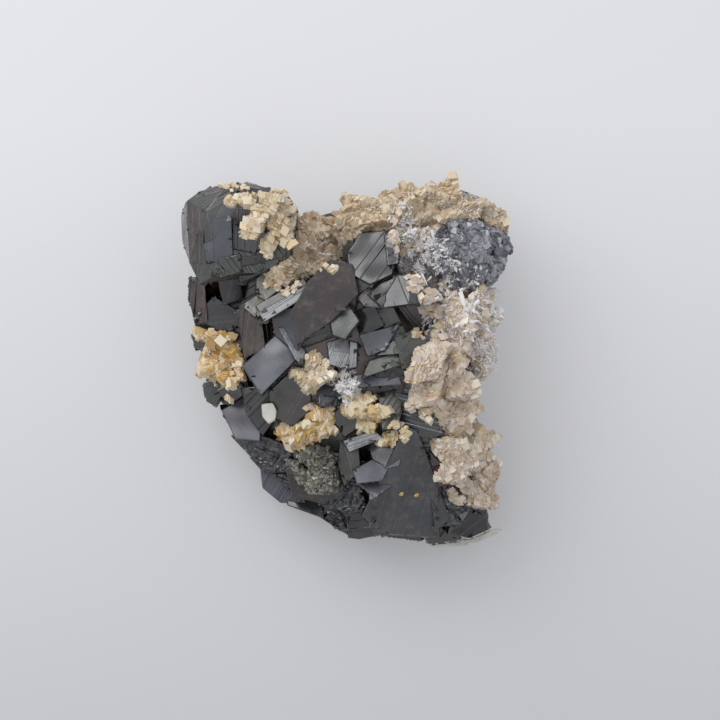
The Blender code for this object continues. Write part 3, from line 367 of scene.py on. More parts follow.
def bumped(material, height, depth_mm, strength, normal=None):
    """A normal bent by a height, on top of another normal if there is one."""
    under = {"Normal": normal} if normal else {}
    return add_node(material, "ShaderNodeBump", Height=height, Distance=depth_mm * MM, Strength=strength,
                    **under).outputs["Normal"]


def attribute(material, name, output="Color"):
    """What the mesh holds for each face under a name."""
    return add_node(material, "ShaderNodeAttribute", {"attribute_name": name}).outputs[output]


def object_place(material):
    """The place on the object in metres."""
    return add_node(material, "ShaderNodeTexCoord").outputs["Object"]


def noise(material, size_mm, detail, roughness):
    """A noise on Object coordinates whose features are about so many millimetres across."""
    return add_node(material, "ShaderNodeTexNoise", Vector=object_place(material), Scale=1 / (size_mm * MM),
                    Detail=detail, Roughness=roughness).outputs["Fac"]


def new_material(name, **constants):
    """A material with one Principled shader, whose constants are set on its own sockets."""
    material = bpy.data.materials.new(name)
    material.use_nodes = True
    shader = material.node_tree.nodes["Principled BSDF"]
    for key, value in constants.items():
        shader.inputs[key.replace("_", " ")].default_value = value
    return material, shader


def join_to(material, shader, **links):
    """Links sockets to the shader's inputs."""
    for key, value in links.items():
        material.node_tree.links.new(value, shader.inputs[key.replace("_", " ")])


def vitreous_sphalerite():
    """Iron-rich sphalerite: glassy to nearly metallic faces, with fine striations whose light lines are
    painted highlights.
    """
    material, shader = new_material("vitreous_sphalerite", IOR=1.9)
    parts = add_node(material, "ShaderNodeSeparateColor", Color=attribute(material, "surface"))
    roughness, striation_and_highlight, dust = (parts.outputs[part] for part in ("Red", "Green", "Blue"))
    rippled = attribute(material, "surface", "Alpha")
    along = add_node(material, "ShaderNodeVectorMath", {"operation": "DOT_PRODUCT"},
                     i0=object_place(material), i1=attribute(material, "grain", "Vector")).outputs["Value"]
    lines_at = maths(material, "MULTIPLY_ADD", noise(material, 9.0, 2.0, 0.5), LINE_SWAY, along)
    lines = add_node(material, "ShaderNodeTexNoise", {"noise_dimensions": "1D"}, W=lines_at,
                     Scale=LINES_PER_METRE, Detail=3.0, Roughness=0.7).outputs["Fac"]
    # painted highlight: light grey lines painted along the striations, where the grooves would catch the
    # light
    painted_streak = maths(material, "MULTIPLY", ranged(material, lines, 0.56, 0.74), striation_and_highlight)
    mottle = noise(material, 6.0, 5.0, 0.6)
    body = scaled(material, attribute(material, "tint"), ranged(material, mottle, 0.32, 0.7, 0.45, 1.7))
    lit = mixed(material, painted_streak, body, linear(STRIATION_HIGHLIGHT))
    grit = noise(material, 2.2, 8.0, 0.8)
    specks = maths(material, "MULTIPLY", ranged(material, grit, 0.5, 0.68), dust)
    colour = mixed(material, maths(material, "MULTIPLY", specks, SPECK_SHARE), lit, linear(SPECK))
    uneven_sheen = maths(material, "ADD", ranged(material, mottle, 0.35, 0.7, -0.08, 0.16), roughness)
    sheen = maths(material, "MULTIPLY_ADD", specks, 0.25, uneven_sheen)
    folds = maths(material, "PINGPONG", noise(material, 7.0, 2.0, 0.5), 0.05)
    uneven = bumped(material, noise(material, 10.0, 1.0, 0.4), 2.5, 0.5)
    broken = bumped(material, maths(material, "MULTIPLY", folds, rippled), 14, 0.8, uneven)
    ridges = bumped(material, maths(material, "MULTIPLY", lines, striation_and_highlight), 0.22, 0.7, broken)
    dusty = bumped(material, maths(material, "MULTIPLY", grit, dust), 0.16, 0.6, ridges)
    join_to(material, shader, Base_Color=colour, Roughness=sheen, Normal=dusty)
    return material


def rhomb_carbonate(name, stain):
    """Dolomite or calcite rhombs: satin, a little translucent, with a stain of iron in patches."""
    material, shader = new_material(name, IOR=1.6, Subsurface_Weight=0.2, Subsurface_Scale=0.0006,
                                    Subsurface_Radius=(1.0, 0.9, 0.8))
    share = ranged(material, noise(material, 1.6, 4.0, 0.7), 0.52, 0.8, 0.0, 0.36)
    stained = mixed(material, share, attribute(material, "tint"), linear(stain))
    grit = noise(material, 0.35, 3.0, 0.7)
    join_to(material, shader, Base_Color=stained, Roughness=ranged(material, grit, 0.0, 1.0, 0.35, 0.65),
            Normal=bumped(material, grit, 0.12, 0.5))
    return material


def clear_quartz():
    """Rock crystal: glassy needles, clear with a faint lilac-white haze."""
    material, shader = new_material("clear_quartz", IOR=1.544, Transmission_Weight=0.12,
                                    Subsurface_Weight=0.25, Subsurface_Scale=0.001,
                                    Subsurface_Radius=(1.0, 0.98, 0.96))
    haze = noise(material, 1.0, 2.0, 0.5)
    join_to(material, shader, Base_Color=attribute(material, "tint"),
            Roughness=ranged(material, haze, 0.0, 1.0, 0.03, 0.2))
    return material


def dull_galena():
    """Galena under a fine druse: blue-grey, softly metallic, sparkling in points."""
    material, shader = new_material("dull_galena", Metallic=0.4)
    grit = noise(material, 0.4, 3.0, 0.7)
    colour = scaled(material, attribute(material, "tint"), ranged(material, grit, 0.3, 0.7, 0.6, 1.3))
    join_to(material, shader, Base_Color=colour, Roughness=ranged(material, grit, 0.0, 1.0, 0.3, 0.6),
            Normal=bumped(material, grit, 0.15, 0.5))
    return material


def granular_pyrite():
    """Tarnished pyrite grains: greenish grey, half metallic, sparkling."""
    material, shader = new_material("granular_pyrite", Metallic=0.4)
    grit = noise(material, 0.5, 3.0, 0.7)
    join_to(material, shader, Base_Color=attribute(material, "tint"),
            Roughness=ranged(material, grit, 0.0, 1.0, 0.2, 0.6))
    return material


def milky_calcite():
    """Milky calcite: white and clouded, greyer where the clouds part."""
    material, shader = new_material("milky_calcite", IOR=1.6, Transmission_Weight=0.15, Subsurface_Weight=0.4,
                                    Subsurface_Scale=0.002, Subsurface_Radius=(1.0, 0.98, 0.94))
    cloud = noise(material, 6.0, 4.0, 0.6)
    colour = mixed(material, ranged(material, cloud, 0.35, 0.65), linear("#C4C3B6"), linear("#E4E2D8"))
    join_to(material, shader, Base_Color=colour, Roughness=ranged(material, cloud, 0.0, 1.0, 0.15, 0.4))
    return material


def white_paper():
    """The matt white sheet that the specimen lies on, with painted light: it glows a little at its near end
    and most at its far end.
    """
    material, shader = new_material("white_paper", Roughness=0.95, Specular_IOR_Level=0.1)
    colour = mixed(material, noise(material, 0.8, 3.0, 0.6), linear("#B6B6B7"), linear("#B9B9BA"))
    along = add_node(material, "ShaderNodeSeparateXYZ", Vector=object_place(material)).outputs["Y"]
    # painted light: the sheet glows, brighter towards its far end, as if lit most from the far side
    painted_glow = ranged(material, along, place(360, 720).y, place(360, 120).y, *SHEET_PAINTED_GLOW)
    shader.inputs["Emission Color"].default_value = linear("#FBFBFF")
    join_to(material, shader, Base_Color=colour, Emission_Strength=painted_glow)
    return material


def light_tent(world):
    """White cloth all round the specimen, its light given by direction alone."""
    world.use_nodes = True
    way = add_node(world, "ShaderNodeTexCoord").outputs["Generated"]
    slope = add_node(world, "ShaderNodeVectorMath", {"operation": "DOT_PRODUCT"}, i0=way, i1=TENT_SLOPE)
    cloth = add_node(world, "ShaderNodeTexNoise", Vector=way, Scale=2.2, Detail=1.0, Roughness=0.5)
    patches = ranged(world, cloth.outputs["Fac"], 0.35, 0.65, -TENT_PATCHES, TENT_PATCHES)
    level = maths(world, "ADD", maths(world, "ADD", slope.outputs["Value"], TENT_LEVEL), patches)
    background = world.node_tree.nodes["Background"]
    background.inputs["Color"].default_value = linear("#F8FAFE")
    world.node_tree.links.new(level, background.inputs["Strength"])


# Modelling
def start_alone(piece):
    """Makes a piece the only selected and the active object."""
    bpy.ops.object.select_all(action="DESELECT")
    piece.select_set(True)
    bpy.context.view_layer.objects.active = piece


def merged_copy(node, name):
    """A new object with a copy of a solid's mesh, its doubles merged and its faces shaded flat."""
    piece = bpy.data.objects.new(name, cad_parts[node].data.copy())
    bpy.context.scene.collection.objects.link(piece)
    start_alone(piece)
    bpy.ops.object.mode_set(mode="EDIT")
    bpy.ops.mesh.customdata_custom_splitnormals_clear()
    bpy.ops.mesh.select_all(action="SELECT")
    bpy.ops.mesh.remove_doubles(threshold=0.001 * MM)
    bpy.ops.mesh.faces_shade_flat()
    bpy.ops.object.mode_set(mode="OBJECT")
    return piece


def mesh_of_copy(node):
    """The mesh of a solid's merged copy, without its object."""
    piece = merged_copy(node, "ground")
    mesh = piece.data
    bpy.data.objects.remove(piece)
    return mesh


def dissolve_flat(piece, degrees=0.5):
    """Joins the triangles of each flat face into one."""
    start_alone(piece)
    bpy.ops.object.mode_set(mode="EDIT")
    bpy.ops.mesh.select_all(action="SELECT")
    bpy.ops.mesh.dissolve_limited(angle_limit=math.radians(degrees))
    bpy.ops.object.mode_set(mode="OBJECT")


def ray_down(tree, spot, top=0.2):
    """What is under a place, seen from above: the point, the normal and the number of the face, or Nones."""
    return tree.ray_cast(Vector((spot.x, spot.y, top)), Vector((0, 0, -1)))[:3]


def tree_of(*nodes):
    """A search tree of some solids' faces."""
    corners, faces = [], []
    for node in nodes:
        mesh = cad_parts[node].data
        faces += [[len(corners) + i for i in p.vertices] for p in mesh.polygons]
        corners += [v.co.copy() for v in mesh.vertices]
    return BVHTree.FromPolygons(corners, faces)


def dress(piece, node, slot_name, material):
    """Gives a finished piece its material and its place on the body, and hides the solid that it stands for.
    """
    piece.data.materials.clear()
    piece.data.materials.append(material)
    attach(piece, BODY)
    if node:
        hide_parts(node)
    return piece


def taken_out():
    """The primitive just added and shaped, as lists of its corners and faces, and taken out of the scene."""
    made = bpy.context.object
    corners = np.array([v.co for v in made.data.vertices])
    faces = [list(p.vertices) for p in made.data.polygons]
    mesh = made.data
    bpy.data.objects.remove(made)
    bpy.data.meshes.remove(mesh)
    return corners, faces


def rhomb_shape():
    """A carbonate rhomb of unit size: a cube pressed flat along its body diagonal."""
    bpy.ops.object.select_all(action="DESELECT")
    bpy.ops.mesh.primitive_cube_add(size=1.0)
    bpy.ops.object.mode_set(mode="EDIT")
    bpy.ops.mesh.select_all(action="SELECT")
    bpy.ops.transform.rotate(value=math.radians(45), orient_axis="X", center_override=(0, 0, 0))
    bpy.ops.transform.rotate(value=math.atan(math.sqrt(0.5)), orient_axis="Y", center_override=(0, 0, 0))
    bpy.ops.transform.resize(value=(1.08, 1.08, 0.8))
    bpy.ops.object.mode_set(mode="OBJECT")
    return taken_out()


def quartz_shape():
    """A quartz crystal of unit length: a six-sided prism that tapers a little into a pyramid."""
    bpy.ops.object.select_all(action="DESELECT")
    bpy.ops.mesh.primitive_cylinder_add(vertices=6, radius=0.5, depth=0.9, location=(0, 0, 0.25))
    bpy.ops.object.mode_set(mode="EDIT")
    shape = bmesh.from_edit_mesh(bpy.context.object.data)
    for face in shape.faces:
        face.select_set(face.normal.z > 0.9)
    bmesh.update_edit_mesh(bpy.context.object.data)
    bpy.ops.transform.resize(value=(0.86, 0.86, 1))
    bpy.ops.mesh.extrude_region_move(TRANSFORM_OT_translate={"value": (0, 0, 0.3)})
    bpy.ops.transform.resize(value=(0.12, 0.12, 1))
    bpy.ops.object.mode_set(mode="OBJECT")
    return taken_out()


def cut_cornered(add_primitive, offset, **settings):
    """A primitive of unit size with its corners cut off."""
    bpy.ops.object.select_all(action="DESELECT")
    add_primitive(**settings)
    bpy.ops.object.mode_set(mode="EDIT")
    bpy.ops.mesh.select_all(action="SELECT")
    bpy.ops.mesh.bevel(offset=offset, segments=1, affect="VERTICES")
    bpy.ops.object.mode_set(mode="OBJECT")
    return taken_out()


def wedge_shape():
    """A sphalerite crystal of unit size: a triangular pyramid whose top and corners are cut off."""
    return cut_cornered(bpy.ops.mesh.primitive_cone_add, 0.13, vertices=3, radius1=0.62, radius2=0.3,
                        depth=0.62)


def cube_shape():
    """A cube of unit size with its corners cut off, as galena grows."""
    return cut_cornered(bpy.ops.mesh.primitive_cube_add, 0.22, size=1.0)


def joined_copies(name, shape, turns, spots, sizes, colours, base=None, base_colour=None, surface=None):
    """One mesh of many copies of a shape, after a base mesh if there is one, each copy with its own tint.

    A surface gives all copies the same roughness, striation, dust and ripples.
    """
    corners, faces = shape
    count = len(spots)
    placed = np.einsum("kij,knj->kni", turns, corners[None] * sizes[:, None, :]) + spots[:, None, :]
    loops = np.array([i for f in faces for i in f])
    totals = np.array([len(f) for f in faces])
    all_corners = placed.reshape(-1, 3)
    all_loops = (loops[None] + (np.arange(count) * len(corners))[:, None]).ravel()
    all_totals = np.tile(totals, count)
    tints = np.repeat(colours, len(faces), axis=0)
    if base is not None:
        base_corners = np.array([v.co for v in base.vertices])
        base_loops = np.array([i for p in base.polygons for i in p.vertices])
        base_totals = np.array([len(p.vertices) for p in base.polygons])
        all_loops = np.concatenate([base_loops, all_loops + len(base_corners)])
        all_corners = np.concatenate([base_corners, all_corners])
        all_totals = np.concatenate([base_totals, all_totals])
        tints = np.concatenate([np.tile(base_colour, (len(base_totals), 1)), tints])
    mesh = bpy.data.meshes.new(name)
    mesh.vertices.add(len(all_corners))
    mesh.vertices.foreach_set("co", all_corners.ravel())
    mesh.loops.add(len(all_loops))
    mesh.loops.foreach_set("vertex_index", all_loops.astype(np.int32))
    mesh.polygons.add(len(all_totals))
    starts = np.concatenate([[0], np.cumsum(all_totals)[:-1]])
    mesh.polygons.foreach_set("loop_start", starts.astype(np.int32))
    mesh.update(calc_edges=True)
    mesh.validate()
    mesh.shade_flat()
    tint = mesh.attributes.new("tint", "FLOAT_COLOR", "FACE")
    tint.data.foreach_set("color", tints.ravel())
    if surface:
        surfaces = np.tile(np.array(surface), len(all_totals))
        grains = np.repeat(turns[:, :, 2], len(faces), axis=0)
        mesh.attributes.new("surface", "FLOAT_COLOR", "FACE").data.foreach_set("color", surfaces)
        mesh.attributes.new("grain", "FLOAT_VECTOR", "FACE").data.foreach_set("vector", grains.ravel())
    piece = bpy.data.objects.new(name, mesh)
    bpy.context.scene.collection.objects.link(piece)
    return piece


def points_on(mesh, count, dice):
    """Places spread evenly over a mesh's faces, with their normals and the numbers of their faces."""
    mesh.calc_loop_triangles()
    triangles = np.array([[mesh.vertices[i].co for i in t.vertices] for t in mesh.loop_triangles])
    sides = np.cross(triangles[:, 1] - triangles[:, 0], triangles[:, 2] - triangles[:, 0])
    areas = np.linalg.norm(sides, axis=1)
    normals = sides / np.maximum(areas, 1e-15)[:, None]
    chosen = dice.choice(len(areas), size=count, p=areas / areas.sum())
    first, second = np.sqrt(dice.random(count)), dice.random(count)
    weights = np.stack([1 - first, first * (1 - second), first * second], axis=1)
    owners = np.array([t.polygon_index for t in mesh.loop_triangles])
    return np.einsum("kc,kcj->kj", weights, triangles[chosen]), normals[chosen], owners[chosen]


def spread_out(points, sizes, share):
    """The numbers of the points that keep their distance from each other, as a share of their sizes."""
    kept, cells = [], {}
    cell_size = max(sizes) * share
    for number, (point, size) in enumerate(zip(points, sizes)):
        key = tuple((point // cell_size).astype(int))
        near = [
            other for i in (-1, 0, 1) for j in (-1, 0, 1) for k in (-1, 0, 1)
            for other in cells.get((key[0] + i, key[1] + j, key[2] + k), [])
        ]
        if all(np.linalg.norm(points[o] - point) > share * (sizes[o] + size) / 2 for o in near):
            kept.append(number)
            cells.setdefault(key, []).append(number)
    return kept


def common_turn(point, cell, seed):
    """The turn that all crystals near a place share."""
    key = [int(math.floor(c / cell)) for c in point]
    dice = random.Random(seed * 7919 + key[0] * 131 + key[1] * 17 + key[2])
    return Euler([dice.uniform(0, math.tau) for _ in range(3)]).to_matrix()


def jittered(turn, degrees, dice):
    """A turn changed by up to so many degrees about each axis."""
    change = Euler([math.radians(dice.uniform(-degrees, degrees)) for _ in range(3)]).to_matrix()
    return np.array(turn @ change)


def turns_near(points, turns, seed, dice):
    """The turns of crystals at some places, alike for those near each other."""
    cell, degrees = turns
    return np.array([jittered(common_turn(p, cell * MM, seed), degrees, dice) for p in points])


def shades(colours, count, dice):
    """One colour of a palette for each of so many crystals."""
    palette = np.array([linear(c) for c in colours])
    return palette[dice.integers(0, len(palette), count)]


def crust(name, mass_tree, shape, slot_name, colours, grains, share, seed, material):
    """A crust of rhombs over one of the carbonate solids."""
    dice = np.random.default_rng(seed)
    mesh = mesh_of_copy(name)
    area = sum(p.area for p in mesh.polygons)
    points, normals, _ = points_on(mesh, int(area / (CRUST_CELL * (grains[0] * MM) ** 2)), dice)
    sizes = (grains[0] + (grains[1] - grains[0]) * dice.random(len(points)) ** 2) * MM
    free = [
        n for n in range(len(points))
        if mass_tree.ray_cast(Vector(points[n] + normals[n] * 0.05 * MM), Vector(normals[n]),
                              CRUST_ROOM * MM)[0] is None
    ]
    points, normals, sizes = points[free], normals[free], sizes[free]
    kept = spread_out(points, sizes, share)
    points, sizes = points[kept] - normals[kept] * CRUST_SINK * sizes[kept, None], sizes[kept]
    turns = turns_near(points, CRUST_TURNS, seed, dice)
    tints = shades(colours, len(points), dice)
    tints[:, :3] *= dice.uniform(*RHOMB_SHADES, len(points))[:, None]
    scale = sizes[:, None] * dice.uniform(*RHOMB_SIDES, (len(points), 3))
    piece = joined_copies(name + "_rhombs", shape, turns, points, scale, tints, mesh, linear(colours[0]))
    return dress(piece, name, slot_name, material)


# Operators
class SpecimenSettings(bpy.types.PropertyGroup):
    """Sizes that a user would change."""

    terrace_height: bpy.props.FloatProperty(
        name="Terrace height", description="Height of one growth terrace on a sphalerite face",
        default=0.14 * MM, min=0.0, unit="LENGTH")
    quartz_thickness: bpy.props.FloatProperty(
        name="Quartz thickness", description="Thickness of a quartz crystal as a share of its length",
        default=0.24, min=0.05, max=1.0, subtype="FACTOR")
    light_power: bpy.props.FloatProperty(
        name="Light power", description="Power of the soft light behind the specimen in watts",
        default=1.2, min=0.0)


class SPECIMEN_OT_sphalerite(bpy.types.Operator):
    """Cuts the growth terraces of the dark sphalerite crystals and sets the small ones between them"""

    bl_idname = "specimen.sphalerite"
    bl_label = "Sphalerite crystals"

    def execute(self, context):
        dice = random.Random(SPHALERITE_SEED)
        piece = merged_copy("sphalerite_mass", "sphalerite_crystals")
        dissolve_flat(piece)
        tree = BVHTree.FromPolygons([v.co.copy() for v in piece.data.vertices],
                                    [p.vertices[:] for p in piece.data.polygons])
        shape = bmesh.new()
        shape.from_mesh(piece.data)
        shape.faces.ensure_lookup_table()
        known = name_faces(shape, tree, dice)
        infill(piece.data, known)
        for face in list(shape.faces):
            if face.calc_area() >= SMALLEST_FACE and face.normal.z >= UNDERSIDE:
                terrace(shape, face, context.scene.specimen.terrace_height, dice)
        shape.to_mesh(piece.data)
        shape.free()
        finish_attributes(piece.data, dice)
        material = vitreous_sphalerite()
        dress(piece, "sphalerite_mass", "sphalerite", material)
        dress(bpy.data.objects["sphalerite_infill"], "sphalerite_mass", "sphalerite", material)
        return {"FINISHED"}


def name_faces(shape, tree, dice):
    """Gives each face its finish and its striations, and returns the numbers of those listed."""
    finish_names = list(FINISHES)
    finish_of = shape.faces.layers.int.new("finish")
    angle_of = shape.faces.layers.float.new("angle")
    spacing_of = shape.faces.layers.float.new("spacing")
    known = set()
    for px, py, finish, angle, spacing in FACES.values():
        number = ray_down(tree, place(px, py))[2]
        if number is None:
            continue
        seen = shape.faces[number]
        for face in shape.faces:
            apart = face.calc_center_median() - seen.calc_center_median()
            near = apart.length < SAME_FACE_REACH
            flush = abs(apart.dot(seen.normal)) < SAME_FACE_STEP
            if near and flush and face.normal.dot(seen.normal) > SAME_FACE_TURN:
                face[finish_of] = finish_names.index(finish)
                face[angle_of] = math.radians(angle)
                face[spacing_of] = spacing * MM
                known.add(face.index)
    for face in shape.faces:
        if face.index not in known:
            longest = max(face.edges, key=lambda e: e.calc_length())
            way = longest.verts[0].co - longest.verts[1].co
            face[finish_of] = finish_names.index(dice.choice(COMMON))
            face[angle_of] = math.atan2(way.y, way.x)
            face[spacing_of] = dice.choice(COMMON_SPACINGS)
    return known


def terrace(shape, face, height, dice):
    """Splits a face along its striations, if it has them, and raises a low terrace on each strip."""
    angle = face[shape.faces.layers.float["angle"]]
    spacing = face[shape.faces.layers.float["spacing"]]
    flat_way = Vector((math.cos(angle), math.sin(angle), 0))
    along = flat_way - face.normal * flat_way.dot(face.normal)
    strips = [face]
    if spacing and along.length > 0.2:
        strips = cut_strips(shape, face, along.normalized(), spacing, dice)
    for strip in strips:
        sharpest = min(loop.calc_angle() for loop in strip.loops)
        if strip.calc_area() < SMALLEST_STRIP or sharpest < SHARPEST_CORNER:
            continue
        width = strip.calc_area() / max(0.1 * MM, strip.calc_perimeter() / 2)
        rim = min(TERRACE_RIM, 0.2 * width) * dice.uniform(0.7, 1.3)
        rise = height * dice.uniform(0.2, 1.0)
        bmesh.ops.inset_individual(shape, faces=[strip], thickness=rim, depth=rise, use_even_offset=True)


def cut_strips(shape, face, along, spacing, dice):
    """Splits a face into strips that run along a direction."""
    across = face.normal.cross(along).normalized()
    reach = [v.co.dot(across) for v in face.verts]
    strips = [face]
    at = min(reach) + spacing * dice.uniform(0.3, 1.2)
    while at < max(reach) - 0.2 * spacing:
        edges = {e for s in strips for e in s.edges}
        corners = {v for s in strips for v in s.verts}
        cut = bmesh.ops.bisect_plane(shape, geom=strips + list(edges) + list(corners), dist=0.001 * MM,
                                     plane_co=across * at, plane_no=across)
        strips = [g for g in cut["geom"] if isinstance(g, bmesh.types.BMFace)]
        at += spacing * dice.uniform(0.25, 2.2)
    return strips


def finish_attributes(mesh, dice):
    """Writes each face's tint, surface and grain from its finish."""
    count = len(mesh.polygons)
    finishes = np.zeros(count, np.int32)
    angles = np.zeros(count, np.float32)
    normals = np.zeros(count * 3, np.float32)
    mesh.attributes["finish"].data.foreach_get("value", finishes)
    mesh.attributes["angle"].data.foreach_get("value", angles)
    mesh.polygons.foreach_get("normal", normals)
    normals = normals.reshape(-1, 3)
    table = np.array([linear(finish[0]) for finish in FINISHES.values()])
    surfaces = np.array([finish[1:] for finish in FINISHES.values()])
    tints = table[finishes].copy()
    tints[:, :3] *= np.array([dice.uniform(0.85, 1.15) for _ in range(count)])[:, None]
    flat = np.stack([np.cos(angles), np.sin(angles), np.zeros(count)], axis=1)
    across = np.cross(normals, flat)
    lengths = np.linalg.norm(across, axis=1)
    across[lengths < 0.05] = (1, 0, 0)
    across /= np.linalg.norm(across, axis=1)[:, None]
    mesh.attributes.new("tint", "FLOAT_COLOR", "FACE").data.foreach_set("color", tints.ravel())
    surface = mesh.attributes.new("surface", "FLOAT_COLOR", "FACE")
    surface.data.foreach_set("color", surfaces[finishes].ravel())
    mesh.attributes.new("grain", "FLOAT_VECTOR", "FACE").data.foreach_set("vector", across.ravel())
    for name in ("finish", "angle", "spacing"):
        mesh.attributes.remove(mesh.attributes[name])


def infill(mesh, known):
    """Small dark crystals on steep faces that aren't listed, those near each other turned alike."""
    dice = np.random.default_rng(INFILL_SEED)
    tries, (small, large), share = INFILL
    cover = tree_of(*[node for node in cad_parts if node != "sphalerite_mass"])
    slope = place(*SLOPE_CORNER)
    points, normals, owners = points_on(mesh, tries, dice)
    free = []
    for number, (point, normal, owner) in enumerate(zip(points, normals, owners)):
        start = Vector(point + normal * 0.1 * MM)
        covered = cover.ray_cast(start, Vector((0, 0, 1)), 9 * MM)[0] is not None
        bare = point[0] < slope.x and point[1] < slope.y
        steep = INFILL_OVERHANG < normal[2] < INFILL_STEEPEST
        if owner not in known and steep and not (covered or bare) and point[2] > INFILL_LOWEST:
            free.append(number)
    points, normals = points[free], normals[free]
    sizes = (small + (large - small) * dice.random(len(points)) ** 2.5) * MM
    kept = spread_out(points, sizes, share)
    points, normals, sizes = points[kept], normals[kept], sizes[kept]
    turns = turns_near(points, INFILL_TURNS, INFILL_SEED, dice)
    tints = shades(INFILL_COLOURS, len(points), dice)
    scale = sizes[:, None] * dice.uniform(0.7, 1.15, (len(points), 3))
    spots = points - normals * 0.3 * sizes[:, None]
    joined_copies("sphalerite_infill", wedge_shape(), turns, spots, scale, tints, surface=INFILL_SURFACE)


class SPECIMEN_OT_carbonates(bpy.types.Operator):
    """Covers the carbonate solids with rhombs"""

    bl_idname = "specimen.carbonates"
    bl_label = "Carbonate rhombs"

    def execute(self, context):
        mass_tree = tree_of("sphalerite_mass")
        shape = rhomb_shape()
        materials = {
            "carbonate_cream": rhomb_carbonate("cream_dolomite", "#C4A882"),
            "carbonate_ochre": rhomb_carbonate("iron_stained_dolomite", "#C79A5C"),
        }
        for name, (slot_name, colours, grains, share, seed) in CRUSTS.items():
            crust(name, mass_tree, shape, slot_name, colours, grains, share, seed, materials[slot_name])
        sprinkle(shape, materials["carbonate_cream"])
        return {"FINISHED"}


def sprinkle(shape, material):
    """The loose rhombs that lie beside the crusts."""
    dice = np.random.default_rng(SPRINKLED_SEED)
    ground = tree_of("sphalerite_mass")
    turns, spots, sizes, tints = [], [], [], []
    for (px, py), reach, count, largest, colours in SPRINKLED:
        for _ in range(count):
            share, angle = math.sqrt(dice.random()), dice.uniform(0, math.tau)
            spot = place(px + math.cos(angle) * reach[0] * share, py + math.sin(angle) * reach[1] * share)
            foot, normal, _ = ray_down(ground, spot)
            if foot is None or foot.z < LOWEST_FOOT or normal.z < SPRINKLED_STEEPEST:
                continue
            size = (SPRINKLED_SMALLEST + (largest - SPRINKLED_SMALLEST) * dice.random() ** 1.5) * MM
            turns.append(turns_near([foot], LOOSE_TURNS, SPRINKLED_SEED, dice)[0])
            spots.append(foot + normal * 0.12 * size)
            sizes.append(size * dice.uniform(*RHOMB_SIDES, 3))
            tints.append(linear(colours[dice.integers(0, len(colours))]))
    piece = joined_copies("loose_rhombs", shape, np.array(turns), np.array(spots), np.array(sizes),
                          np.array(tints))
    dress(piece, None, "carbonate_cream", material)


class SPECIMEN_OT_quartz(bpy.types.Operator):
    """Sets the quartz crystals of the druses"""

    bl_idname = "specimen.quartz"
    bl_label = "Quartz druses"

    def execute(self, context):
        share = context.scene.specimen.quartz_thickness
        ground = tree_of(*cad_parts)
        shape = quartz_shape()
        material = clear_quartz()
        for number, (name, patches) in enumerate(DRUSES.items()):
            dice = random.Random(QUARTZ_SEED + number)
            points = [point for patch in patches for point in needles(ground, patch, share, dice)]
            mesh = mesh_of_copy(name)
            points += short_points(mesh, share, QUARTZ_SEED + number, dice)
            turns, spots, sizes, tints = (np.array(part) for part in zip(*points))
            piece = joined_copies(name + "_points", shape, turns, spots, sizes, tints, mesh,
                                  linear(QUARTZ_COLOURS[0]))
            dress(piece, name, "quartz_clear", material)
        return {"FINISHED"}


def needles(ground, patch, share, dice):
    """The long points of one patch, leaning outwards, each as its turn, foot, size and tint."""
    (px, py), (rx, ry), count, (short, long), lean = patch
    for _ in range(count):
        reach, angle = math.sqrt(dice.random()), dice.uniform(0, math.tau)
        side = Vector((math.cos(angle) * rx, -math.sin(angle) * ry)) * reach
        foot, normal, _ = ray_down(ground, place(px + side.x, py + side.y))
        if foot is None or foot.z < LOWEST_FOOT:
            continue
        outwards = Vector((side.x, -side.y, 0)) / max(rx, ry) * lean
        by_normal, upright, chance = NEEDLE_WAYS
        wild = Vector([dice.uniform(-chance, chance) for _ in range(3)])
        way = (normal * by_normal + Vector((0, 0, upright)) + outwards + wild).normalized()
        if way.z < NEEDLE_FLATTEST:
            way = Vector((way.x, way.y, NEEDLE_FLATTEST)).normalized()
        length = dice.uniform(short, long) * MM
        thick = length * share * dice.uniform(*NEEDLE_WIDTHS)
        if (foot + way * length).z > HIGH.z + 0.5 * MM:
            continue
        turn = np.array(way.to_track_quat("Z", "Y").to_matrix())
        yield turn, foot - way * 0.2 * length, (thick, thick, length), linear(dice.choice(QUARTZ_COLOURS))


def short_points(mesh, share, seed, dice):
    """The short points all over a druse's own ground, each as its turn, foot, size and tint."""
    area = sum(p.area for p in mesh.polygons)
    feet, normals, _ = points_on(mesh, int(area / DRUSE_CELL), np.random.default_rng(seed))
    for foot, normal in zip(feet, normals):
        way = (Vector(normal) + Vector([dice.uniform(-0.6, 0.6) for _ in range(3)])).normalized()
        length = dice.uniform(*DRUSE_LENGTHS) * MM
        thick = length * share * dice.uniform(*SHORT_WIDTHS)
        turn = np.array(way.to_track_quat("Z", "Y").to_matrix())
        spot = Vector(foot) - way * 0.25 * length
        yield turn, spot, (thick, thick, length), linear(dice.choice(QUARTZ_COLOURS))


def softened(piece, voxel_mm, factor, rounds):
    """Gives a piece one even skin, smoothed a few times."""
    start_alone(piece)
    lump = piece.modifiers.new("Lump", "REMESH")
    lump.mode = "VOXEL"
    lump.voxel_size = voxel_mm * MM
    soften = piece.modifiers.new("Soften", "SMOOTH")
    soften.factor = factor
    soften.iterations = rounds
    for modifier in list(piece.modifiers):
        bpy.ops.object.modifier_apply(modifier=modifier.name)


